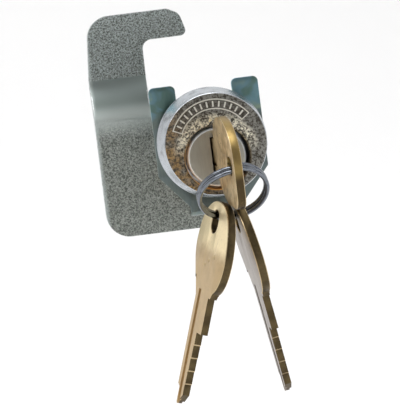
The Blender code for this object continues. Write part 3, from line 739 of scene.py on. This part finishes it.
def double_d(edge):
    """The barrel's outline: two round sides between two flats."""
    radius, half_flat = BARREL_RADIUS - edge, BARREL_HALF_FLAT - edge
    side = math.acos(half_flat / radius)
    upper = arc((0, 0), radius, side, math.pi - side, 40)
    lower = arc((0, 0), radius, math.pi + side, 2 * math.pi - side, 40)
    return upper + lower


def build_lock_body():
    drop = Matrix.Translation((0, -PLUG_DROP, 0))
    steps = [("UNION", plate([double_d(0)], 1 * MM, BARREL_LENGTH + 1 * MM, 0.3 * MM))]
    steps.append(("UNION", plaque_band()))
    steps += [("UNION", plaque_rib(i)) for i in range(PLAQUE_RIBS)]
    steps.append(("DIFFERENCE", moved(turned(bore_profile(), 128), drop)))
    steps += [("DIFFERENCE", moved(chamber(i, 4 * MM, 14 * MM), drop)) for i in range(PIN_COUNT)]
    steps += [("DIFFERENCE", tool) for tool in barrel_cutters()]
    mesh = combined(turned(head_profile(), 160), steps)

    def choose(centre, normal):
        from_axis = math.hypot(centre.x, centre.y)
        from_plug = math.hypot(centre.x, centre.y + PLUG_DROP)
        if from_plug < PLUG_HEAD_BORE_RADIUS + 0.1 * MM and normal.z < 0.9:
            return 2
        if centre.z > HEAD_HEIGHT - RIM_ROUND and from_axis < FACE_RADIUS - 0.6 * RIM_ROUND:
            return 0
        return 1 if centre.z > 0 else 3

    add_piece("lock_body_shell", mesh, LOCK_PLANE, "lock_body", ["lock_body"],
              [FACE, HEAD_SIDE, BORE, BARREL], choose)


def barrel_cutters():
    """Cover pocket, clip grooves and the notch that limits the turn, in the lock plane."""
    cover_low, cover_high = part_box("chamber_cover")
    clip_low, clip_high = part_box("mounting_clip")
    tab_low, tab_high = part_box("stop_washer")
    pocket = box_outline(cover_low.x - GAP, cover_high.x + GAP, cover_low.z - BARREL_AXIS_Z - GAP, 12 * MM)
    pocket_front = -cover_low.y + GAP
    yield plate([pocket], pocket_front, cover_high.y - cover_low.y + 2 * GAP)
    groove_half = 7.25 * MM - GAP
    reach = 9 * MM
    groove_front = -clip_low.y + GAP
    for side in (1, -1):
        inner, outer = sorted((side * groove_half, side * (reach + 2 * MM)))
        groove = box_outline(inner, outer, -reach, reach)
        yield plate([groove], groove_front, 1.0 * MM + 2 * GAP)
    swing = math.radians(45 + 9 + 4)
    notch = sector(6.1 * MM, 8.6 * MM, math.pi / 2 - swing, math.pi / 2 + swing, 32)
    depth = BARREL_LENGTH - tab_low.y + GAP
    notch_tool = plate([notch], -BARREL_LENGTH + depth, depth + 1 * MM)
    yield moved(notch_tool, Matrix.Translation((0, -PLUG_DROP, 0)))


def square(extra):
    half = SQUARE_HALF + extra
    corner = SQUARE_CORNER_CUT
    return [(half, -half + corner), (half, half - corner), (half - corner, half), (-half + corner, half),
            (-half, half - corner), (-half, -half + corner), (-half + corner, -half), (half - corner, -half)]


def keyway_outline():
    """The slot for the key, with the wider hook at its upper left."""
    left = -1.3 * MM
    right = KEY_OFFSET + BLADE_THICKNESS / 2 + 0.25 * MM
    bottom = BLADE_CENTRE - BLADE_HALF - 0.25 * MM
    top = BLADE_CENTRE + BLADE_HALF + 0.25 * MM
    ward = 0.45 * MM
    low, high = -1.6 * MM, -0.7 * MM
    return [(left, bottom), (right, bottom), (right, low), (right - ward, low),
            (right - ward, high), (right, high), (right, top), (left, top)]


def plug_profile():
    bevel = arc((PLUG_HEAD_RADIUS - PLUG_HEAD_BEVEL, PLUG_HEAD_FRONT - PLUG_HEAD_BEVEL), PLUG_HEAD_BEVEL,
                math.pi / 2, 0, 8)
    core = STUD_RADIUS - THREAD_DEPTH
    return [(0, PLUG_HEAD_FRONT)] + bevel + [
        (PLUG_HEAD_RADIUS, PLUG_HEAD_BACK),
        (PLUG_RADIUS, PLUG_HEAD_BACK),
        (PLUG_RADIUS, PLUG_BACK + 0.2 * MM),
        (PLUG_RADIUS - 0.2 * MM, PLUG_BACK),
        (core, PLUG_BACK),
        (core, STUD_BACK + 0.3 * MM),
        (core - 0.3 * MM, STUD_BACK),
        (0, STUD_BACK),
    ]


def build_plug():
    root = 0.5 * MM
    front = PLUG_BACK + root
    keyway_front = PLUG_HEAD_FRONT + 1 * MM
    steps = [
        ("UNION", plate([square(0)], front, front - SQUARE_BACK, 0.1 * MM)),
        ("DIFFERENCE", plate([keyway_outline()], keyway_front, keyway_front + BARREL_LENGTH)),
    ]
    steps += [("DIFFERENCE", chamber(i, CHAMBER_FLOOR, 7 * MM)) for i in range(PIN_COUNT)]
    mesh = combined(turned(plug_profile(), 128), steps)

    def choose(centre, normal):
        if centre.z > PLUG_HEAD_FRONT - 0.05 * MM and normal.z > 0.9:
            return 0
        inside = math.hypot(centre.x, centre.y) < PLUG_RADIUS - 0.6 * MM
        if inside and abs(normal.z) < 0.5 and centre.z > PLUG_BACK:
            return 2
        return 1 if centre.z > 0 else 3

    add_piece("plug_shell", mesh, PLUG_PLANE, "plug", ["plug"], [PLUG_FACE, PLUG_SIDE_PAINTED_HIGHLIGHT, KEYWAY, PLUG_TAIL],
              choose)
    add_piece("plug_thread", stud_thread(), PLUG_PLANE, "plug", [], [STEEL])


def stud_thread():
    """A helical ridge on the plug's tail: a pointed section swept along and capped."""
    per_turn = 36
    length = SQUARE_BACK - STUD_BACK - 0.6 * MM
    count = int(length / THREAD_PITCH * per_turn)
    root = STUD_RADIUS - THREAD_DEPTH - 0.05 * MM
    section = [(root, -0.42 * THREAD_PITCH), (STUD_RADIUS, -0.06 * THREAD_PITCH),
               (STUD_RADIUS, 0.06 * THREAD_PITCH), (root, 0.42 * THREAD_PITCH)]
    bm = bmesh.new()
    rows = []
    for k in range(count + 1):
        angle = 2 * math.pi * k / per_turn
        lift = STUD_BACK + 0.45 * MM + THREAD_PITCH * k / per_turn
        rows.append([bm.verts.new((r * math.cos(angle), r * math.sin(angle), lift + z)) for r, z in section])
    for row, following in zip(rows, rows[1:]):
        for i in range(len(section)):
            after = (i + 1) % len(section)
            bm.faces.new((row[i], row[after], following[after], following[i]))
    bm.faces.new(rows[0])
    bm.faces.new(reversed(rows[-1]))
    bmesh.ops.recalc_face_normals(bm, faces=bm.faces)
    mesh = bpy.data.meshes.new("stud_thread")
    bm.to_mesh(mesh)
    bm.free()
    return mesh


# ---------------------------------------------------------------- pins, springs and cover

def build_pin_stacks():
    for i in range(1, PIN_COUNT + 1):
        low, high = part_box(f"key_pin_{i}")
        build_pin(f"key_pin_{i}", low, high, 0.5 * MM)
        low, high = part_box(f"driver_pin_{i}")
        build_pin(f"driver_pin_{i}", low, high, 0.15 * MM)
        build_pin_spring(i)


def build_pin(node, low, high, tip):
    """A pin with a broken top edge and a cone or a broken edge at its foot."""
    radius = (high.y - low.y) / 2
    edge = 0.15 * MM
    foot_radius = 0.5 * MM if tip > edge else radius - edge
    height = high.z - low.z
    profile = [(0, height), (radius - edge, height), (radius - 0.04 * MM, height - 0.06 * MM),
               (radius, height - edge), (radius, tip), (foot_radius, 0), (0, 0)]
    place = Matrix.Translation(((low.x + high.x) / 2, (low.y + high.y) / 2, low.z))
    add_piece(node + "_turned", turned(profile, 48), place, node, [node], [PIN])


def build_pin_spring(i):
    node = f"pin_spring_{i}"
    low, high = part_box(node)
    radius = 0.17 * MM
    coil_radius = 1.0 * MM
    height = high.z - low.z - 2 * radius
    points = helix(coil_radius, 3.5, 0, height, 32)
    place = Matrix.Translation((0, PIN_FIRST_Y + PIN_PITCH * (i - 1), low.z + radius))
    coil = wire(points, radius, 2)
    add_piece(node + "_coil", coil, place, "lock_body", [node], [SPRING])


def build_chamber_cover():
    low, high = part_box("chamber_cover")
    outline = box_outline(low.x, high.x, low.z - BARREL_AXIS_Z, high.z - BARREL_AXIS_Z)
    mesh = plate([outline], -low.y, high.y - low.y, 0.12 * MM)
    add_piece("chamber_cover_strip", mesh, LOCK_PLANE, "lock_body", ["chamber_cover"], [PIN])


# ---------------------------------------------------------------- mounting clip

def build_mounting_clip():
    """The horseshoe clip: a stamped plate whose lower tab bends back into a lip."""
    low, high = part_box("mounting_clip")
    side = high.x
    top, bottom = high.z - BARREL_AXIS_Z, low.z - BARREL_AXIS_Z
    slot, tab_half, thickness = 7.25 * MM, 6.9 * MM, 1.0 * MM
    front, depth = -low.y, high.y - low.y
    tip_round = 1.3 * MM
    bend = 1.0 * MM
    corners = [
        (-tab_half, bottom, 0), (tab_half, bottom, 0), (tab_half, -16.2 * MM, 0),
        (side, -7.8 * MM, 0.8 * MM), (side, top, tip_round), (slot, top, tip_round),
        (slot, -9.95 * MM, 3 * MM), (-slot, -9.95 * MM, 3 * MM),
        (-slot, top, tip_round), (-side, top, tip_round),
        (-side, -7.8 * MM, 0.8 * MM), (-tab_half, -16.2 * MM, 0),
    ]
    blank = plate([rounded(corners, 10)], front, thickness, 0.16 * MM)
    lip = plate([lip_section(bottom, front, depth, thickness, bend)], tab_half, 2 * tab_half, 0.12 * MM)
    upright = Matrix(((0, 0, 1, 0), (0, 1, 0, 0), (1, 0, 0, 0), (0, 0, 0, 1)))
    lip.transform(upright)
    lip.flip_normals()
    cut_level = bottom + bend + thickness
    away = plate([box_outline(-20 * MM, 20 * MM, bottom - 5 * MM, cut_level)], front + 1 * MM, 3 * MM)
    mesh = combined(blank, [("DIFFERENCE", away), ("UNION", welded(lip))])
    mesh.name = "mounting_clip"

    def choose(centre, normal):
        return 0 if abs(normal.z) > 0.9 else 1

    add_piece("mounting_clip_plate", mesh, LOCK_PLANE, "mounting_clip", ["mounting_clip"], [CLIP, CLIP_EDGE_LIT_COPY],
              choose)


def lip_section(bottom, front, depth, thickness, bend):
    """The bent lip seen from the side, as (depth, height) points: down, round and back."""
    overlap = 0.3 * MM
    top = bottom + bend + thickness + overlap
    centre = (front - thickness - bend, bottom + thickness + bend)
    outer = arc(centre, bend + thickness, 0, -math.pi / 2, 8)
    inner = arc(centre, bend, -math.pi / 2, 0, 6)
    back = front - depth
    return [(front, top)] + outer + [(back, bottom), (back, bottom + thickness)] + inner \
        + [(front - thickness, top)]


# ---------------------------------------------------------------- cam and the stack behind it

def cam_corners():
    """The hook, about the barrel axis: foot, arm and a tip that points back to the right."""
    return [
        (5.8 * MM, -26.2 * MM, 8 * MM),
        (6.8 * MM, 4.4 * MM, 8 * MM),
        (-11.3 * MM, 4.4 * MM, 2 * MM),
        (-11.0 * MM, 27.6 * MM, 2.6 * MM),
        (2.1 * MM, 27.6 * MM, 1.6 * MM),
        (0.3 * MM, 34.1 * MM, 3.0 * MM),
        (-3.1 * MM, 35.8 * MM, 2.5 * MM),
        (-25.8 * MM, 35.8 * MM, 6.5 * MM),
        (-27.4 * MM, 17.9 * MM, 0),
        (-27.4 * MM, -26.2 * MM, 6.5 * MM),
    ]


def build_hook_cam():
    low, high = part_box("hook_cam")
    thickness = 2.6 * MM
    offset = high.y - low.y - thickness
    hole = [(x, y - PLUG_DROP) for x, y in square(GAP)]
    mesh = plate([rounded(cam_corners(), 14), hole], -low.y, thickness, 0.45 * MM)
    bends = 18
    bm = bmesh.new()
    bm.from_mesh(mesh)
    for k in range(bends + 1):
        level = CAM_BEND_LOW + (CAM_BEND_HIGH - CAM_BEND_LOW) * k / bends
        everything = bm.verts[:] + bm.edges[:] + bm.faces[:]
        bmesh.ops.bisect_plane(bm, geom=everything, plane_co=(0, level, 0), plane_no=(0, 1, 0), dist=1e-7)
    for vert in bm.verts:
        t = min(max((vert.co.y - CAM_BEND_LOW) / (CAM_BEND_HIGH - CAM_BEND_LOW), 0), 1)
        vert.co.z -= offset * t * t * (3 - 2 * t)
    bm.to_mesh(mesh)
    bm.free()

    def choose(centre, normal):
        return 0 if abs(normal.z) > 0.86 else 1

    add_piece("hook_cam_plate", mesh, LOCK_PLANE, "plug", ["hook_cam"], [CAM, CAM_RIM], choose)


def build_stop_washer():
    low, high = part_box("stop_washer")
    radius = (high.x - low.x) / 2
    thickness = 0.8 * MM
    front = -high.y + thickness
    washer = plate([circle(radius, 96), square(GAP)], front, thickness, 0.1 * MM)
    middle, half = math.radians(135), math.radians(9)
    tab = sector(6.5 * MM, 8.2 * MM, middle - half, middle + half, 8)
    reach = -low.y - front
    mesh = combined(washer, [("UNION", plate([tab], -low.y, reach + thickness / 2, 0.1 * MM))])
    add_piece("stop_washer_plate", mesh, PLUG_PLANE, "plug", ["stop_washer"], [STEEL])


def build_lock_washer():
    low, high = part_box("lock_washer")
    inner, outer = STUD_RADIUS + GAP, (high.z - low.z) / 2
    outline = sector(inner, outer, math.pi, math.radians(-175), 96)
    mesh = plate([outline], -low.y, high.y - low.y, 0.12 * MM)
    add_piece("lock_washer_ring", mesh, PLUG_PLANE, "plug", ["lock_washer"], [STEEL])


def build_cam_nut():
    """A hex nut: a hexagon cut down by a turned chamfer at both ends."""
    low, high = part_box("cam_nut")
    corner = (high.x - low.x) / 2
    front, thickness = -low.y, high.y - low.y
    blank = plate([circle(corner, 6), circle(STUD_RADIUS + GAP / 2, 48)], front, thickness)
    chamfer = 0.55 * MM
    flat = corner * math.cos(math.pi / 6) - 0.1 * MM
    back = front - thickness
    ends = turned([(0, front), (flat, front), (flat + 2.4 * chamfer, front - chamfer),
                   (flat + 2.4 * chamfer, back + chamfer), (flat, back), (0, back)], 96)
    mesh = combined(blank, [("INTERSECT", ends)])
    add_piece("cam_nut_hex", mesh, PLUG_PLANE, "plug", ["cam_nut"], [STEEL])


# ---------------------------------------------------------------- keys and ring

def cut_height(i):
    """Height of cut number i above the key's middle line; deeper towards the tip."""
    return BLADE_HALF - CUT_DEPTH_FIRST - CUT_DEPTH_STEP * i


def bow_front_edge():
    """The bow's edge on the cut side, from the neck to the end: an egg, fuller by the blade."""
    points = []
    steps = 30
    for k in range(steps + 1):
        angle = math.pi * (BOW_NECK + (1 - BOW_NECK) * k / steps)
        u = -BOW_LENGTH / 2 * (1 - math.cos(angle))
        fullness = math.sin(angle) ** 0.8 * (1 + 0.10 * math.cos(angle))
        points.append((u, BOW_CENTRE + BOW_HALF * fullness))
    return points


def bow_back_edge(corner):
    """The flatter edge on the back: round a corner, then a straight taper into the blade."""
    start = (-BOW_LENGTH, BOW_CENTRE, 0)
    finish = (BOW_BACK_END, -BLADE_HALF, 0)
    return rounded([start, corner, BOW_BACK_BELLY, finish], 12)[1:]


def key_outline(corner):
    """Bow, shoulder, stepped cuts and tip, anticlockwise from the step on its back edge."""
    first = KEY_SEAT + PIN_FIRST_Y - PIN_PITCH / 2
    points = [
        (BLADE_LENGTH - TIP_LENGTH, -BLADE_HALF),
        (BLADE_LENGTH - TIP_LENGTH + CUT_SLOPE, TIP_BACK),
        (BLADE_LENGTH - CUT_SLOPE, TIP_BACK),
        (BLADE_LENGTH, TIP_BACK + CUT_SLOPE),
        (BLADE_LENGTH - TIP_SLANT, cut_height(PIN_COUNT - 1)),
    ]
    for i in reversed(range(PIN_COUNT)):
        step = first + PIN_PITCH * i
        points.append((step + CUT_SLOPE, cut_height(i)))
        points.append((step, cut_height(i - 1) if i else BLADE_HALF))
    points += [(0, BLADE_HALF), (0, BLADE_HALF + SHOULDER_STEP)]
    points += bow_front_edge()
    points += bow_back_edge(corner)
    return points


def ring_hole_outline():
    centre_u = -BOW_LENGTH + RING_HOLE_FROM_END
    straight = RING_HOLE_HALF_LENGTH - RING_HOLE_HALF_WIDTH
    quarter = math.pi / 2
    far = arc((centre_u - straight, RING_HOLE_CENTRE), RING_HOLE_HALF_WIDTH, quarter, 3 * quarter, 20)
    near = arc((centre_u + straight, RING_HOLE_CENTRE), RING_HOLE_HALF_WIDTH, -quarter, quarter, 20)
    return far + near


def milled_blade(side):
    """The milling that thins one side of the blade, ending in a slanting line by the bow."""
    over = 1 * MM
    reach = BLADE_HALF + 2 * SHOULDER_STEP
    end = BLADE_LENGTH + over
    outline = [(end, -reach), (end, reach), (MILLING_FRONT, reach), (MILLING_BACK, -reach)]
    face = BLADE_THICKNESS / 2
    return plate([outline], face + over if side > 0 else -face, over)


def key_mesh(marked, corner):
    outlines = [key_outline(corner), ring_hole_outline()]
    key = plate(outlines, KEY_THICKNESS / 2, KEY_THICKNESS, KEY_EDGE_ROUND)
    over = 1 * MM
    inside = KEY_THICKNESS / 2 - KEY_GROOVE_DEPTH
    start, end = KEY_GROOVE_START, BLADE_LENGTH + over
    low, high = -1.6 * MM - GAP - BLADE_CENTRE, -0.7 * MM + GAP - BLADE_CENTRE
    ward = plate([box_outline(start, end, low, high)], inside + over, over)
    plain_groove = plate([box_outline(start, end, -2.9 * MM, -1.9 * MM)], -inside, over)
    steps = [("DIFFERENCE", tool) for tool in (milled_blade(1), milled_blade(-1), ward, plain_groove)]
    if marked:
        steps += [("DIFFERENCE", dimple(u, v)) for u, v in ((-9.5, 3.6), (-8.0, 0.4), (-6.6, -1.6))]
    return combined(key, steps)


def dimple(u, v):
    """A shallow round punch mark on the bow; the place is in millimetres."""
    radius, sink = 1.0 * MM, 0.2 * MM
    profile = [(0, radius)] + arc((0, 0), radius, math.pi / 2 - 0.2, -math.pi / 2, 24)
    profile[-1] = (0, -radius)
    ball = turned([(abs(r), z) for r, z in profile], 48)
    return moved(ball, Matrix.Translation((u * MM, v * MM, KEY_THICKNESS / 2 + radius - sink)))


def build_key(node, place, face, edge=KEY_EDGE_PAINTED_DARK, marked=False, corner=SPARE_BACK_CORNER):
    def choose(centre, normal):
        if abs(normal.z) > 0.95:
            return 0
        if centre.x > 0 and abs(centre.z) > KEY_THICKNESS / 2 - KEY_GROOVE_DEPTH:
            return 0
        step = centre.x > KEY_SEAT and centre.y > 0 and abs(normal.x) > 0.3
        return 2 if step or abs(normal.z) > 0.25 else 1

    add_piece(node + "_blank", key_mesh(marked, corner), place, node, [node], [face, edge, KEY_RIM_PAINTED_HIGHLIGHT], choose)


def inserted_key_place():
    """Local X runs into the lock, local Y up and local Z to the right."""
    axes = Matrix(((0, 0, 1, 0), (1, 0, 0, 0), (0, 1, 0, 0), (0, 0, 0, 1)))
    return Matrix.Translation((KEY_OFFSET, -KEY_SEAT, PLUG_AXIS_Z + BLADE_CENTRE)) @ axes


def hanging_place(node, splay_deg, lean_deg, facing_deg):
    """A key hung on the ring: splayed sideways, leaning back, turned about its own length."""
    splay, lean, facing = (math.radians(a) for a in (splay_deg, lean_deg, facing_deg))
    along = Vector((math.sin(splay) * math.cos(lean), math.sin(lean), -math.cos(splay) * math.cos(lean)))
    side = Vector((-math.cos(splay), 0, -math.sin(splay)))
    front = side.cross(along)
    normal = math.cos(facing) * side + math.sin(facing) * front
    height = normal.cross(along)
    axes = Matrix((along, height, normal)).transposed().to_4x4()
    hole = Vector((-BOW_LENGTH + RING_HOLE_FROM_END + HANG_SAG, RING_HOLE_CENTRE, 0))
    pivot = Vector(JOINTS[node + "_swing"]["pos_m"])
    return Matrix.Translation(pivot) @ axes @ Matrix.Translation(-hole)


def build_key_ring():
    """Two turns of wire, hung from the inserted key and leaning back against the lock."""
    lean = math.radians(38)
    ring_low, ring_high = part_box("key_ring")
    wire_radius = 0.55 * MM
    radius = (ring_high.x - ring_low.x) / 2 - wire_radius
    pitch = 1.16 * MM
    down = Vector((0, math.sin(lean), -math.cos(lean)))
    across = Vector((1, 0, 0))
    centre = Vector(JOINTS["ring_swing"]["pos_m"]) + down * radius
    axes = Matrix((-down, across, -across.cross(down))).transposed().to_4x4()
    mesh = wire(helix(radius, 2, -pitch, pitch, 128), wire_radius, 5)
    place = Matrix.Translation(centre) @ axes
    add_piece("key_ring_wire", mesh, place, "key_ring", ["key_ring"], [RING])


# ---------------------------------------------------------------- stage, light and camera

def plain(name, colour, roughness):
    material = bpy.data.materials.new(name)
    material.use_nodes = True
    shader = material.node_tree.nodes["Principled BSDF"]
    shader.inputs["Base Color"].default_value = (*colour, 1)
    shader.inputs["Roughness"].default_value = roughness
    return material


def build_stage():
    """A pale floor that sweeps up into a backdrop, well under the lowest key."""
    floor_z = cad_box[0].z - FLOOR_DROP
    front, back, top, half_width, sweep = -1.2, 0.55, 1.4, 1.6, 0.35
    bend = arc((back - sweep, floor_z + sweep), sweep, -math.pi / 2, 0, 24)
    line = [(front, floor_z)] + bend + [(back, top)]
    mesh = bpy.data.meshes.new("floor")
    points = [(x, y, z) for y, z in line for x in (-half_width, half_width)]
    faces = [(2 * i, 2 * i + 1, 2 * i + 3, 2 * i + 2) for i in range(len(line) - 1)]
    mesh.from_pydata(points, [], faces)
    mesh.shade_smooth()
    floor = linked("floor", mesh)
    mesh.materials.append(plain("floor_pale", (0.95, 0.95, 0.95), 0.9))
    floor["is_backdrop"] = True


def area_light(name, place, target, size, power, colour=(1, 1, 1)):
    data = bpy.data.lights.new(name, "AREA")
    data.shape = "DISK"
    data.size = size
    data.energy = power
    data.color = colour
    light = linked(name, data)
    light.location = place
    light.rotation_euler = (Vector(target) - Vector(place)).to_track_quat("-Z", "Y").to_euler()


def build_world():
    """A soft studio: bright above and behind, mid grey in front, paler to the camera itself."""
    world = bpy.data.worlds.new("studio")
    bpy.context.scene.world = world
    world.use_nodes = True
    nodes, links = world.node_tree.nodes, world.node_tree.links
    background = nodes["Background"]
    direction = nodes.new("ShaderNodeTexCoord").outputs["Generated"]
    axes = nodes.new("ShaderNodeSeparateXYZ")
    links.new(direction, axes.inputs[0])
    depth = nodes.new("ShaderNodeMapRange")
    depth.inputs["From Min"].default_value = -0.9
    depth.inputs["From Max"].default_value = 0.3
    links.new(axes.outputs["Y"], depth.inputs["Value"])
    shade = nodes.new("ShaderNodeValToRGB")
    shade.color_ramp.elements[0].color = (0.30, 0.29, 0.28, 1)
    shade.color_ramp.elements[1].color = (0.95, 0.96, 0.98, 1)
    links.new(depth.outputs[0], shade.inputs[0])
    ray = nodes.new("ShaderNodeLightPath")
    seen = nodes.new("ShaderNodeMix")
    seen.data_type = "RGBA"
    links.new(ray.outputs["Is Camera Ray"], seen.inputs[0])
    links.new(shade.outputs[0], seen.inputs[6])
    seen.inputs[7].default_value = (BACKDROP_WHITE, BACKDROP_WHITE, BACKDROP_WHITE, 1)
    links.new(seen.outputs[2], background.inputs["Color"])
    bpy.context.scene.view_settings.view_transform = "Standard"


def build_lights():
    middle = (0, 0, -12 * MM)
    area_light("key_light", (-0.55, -0.45, 0.60), middle, 0.45, 1.8)
    area_light("fill_light", (0.70, -0.50, 0.25), middle, 0.60, 0.5)
    area_light("backdrop_light", (0.0, -0.20, 1.20), (0, 0.45, 0.1), 0.9, 7.0)


def shift_at_home(data, channel, shift, camera, home):
    """A lens shift that holds at the camera's first place and fades out as it moves away.

    The photograph is cropped off centre, but views from other sides have to be centred.
    """
    curve = data.driver_add(channel)
    for modifier in list(curve.modifiers):
        curve.modifiers.remove(modifier)
    curve.driver.type = "AVERAGE"
    distance = curve.driver.variables.new()
    distance.type = "LOC_DIFF"
    distance.targets[0].id = camera
    distance.targets[1].id = home
    for moved, value in ((0, shift), (SHIFT_FADE, 0)):
        curve.keyframe_points.insert(moved, value).interpolation = "LINEAR"


def build_camera():
    data = bpy.data.cameras.new("camera")
    data.sensor_fit = "HORIZONTAL"
    data.sensor_width = 36
    data.lens = CAMERA_LENS
    data.clip_start = 0.01
    camera = linked("camera", data)
    right = Vector((math.cos(CAMERA_ROLL), 0, -math.sin(CAMERA_ROLL)))
    up = Vector((math.sin(CAMERA_ROLL), 0, math.cos(CAMERA_ROLL)))
    turn = Matrix((right, up, Vector((0, -1, 0)))).transposed().to_4x4()
    camera.matrix_world = Matrix.Translation(CAMERA_PLACE) @ turn
    home = linked("camera_home", None)
    home.location = CAMERA_PLACE
    for channel, shift in CAMERA_SHIFT:
        shift_at_home(data, channel, shift, camera, home)
    bpy.context.scene.camera = camera


def save_sizes():
    boxes = {"cad": cad_box, "visual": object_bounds()}
    plain_boxes = {name: [list(corner) for corner in box] for name, box in boxes.items()}


build_lock_body()
build_plug()
build_pin_stacks()
build_chamber_cover()
build_mounting_clip()
build_hook_cam()
build_stop_washer()
build_lock_washer()
build_cam_nut()
build_key("inserted_key", inserted_key_place(), KEY_IN_FACE, KEY_IN_EDGE, corner=BOW_BACK_CORNER)
build_key("spare_key_left", hanging_place("spare_key_left", -18.4, 0, 8.5), KEY_LEFT_FACE, marked=True)
build_key("spare_key_right", hanging_place("spare_key_right", 9.7, 5, 0), KEY_RIGHT_FACE)
build_key_ring()
build_stage()
build_world()
build_lights()
build_camera()
save_sizes()
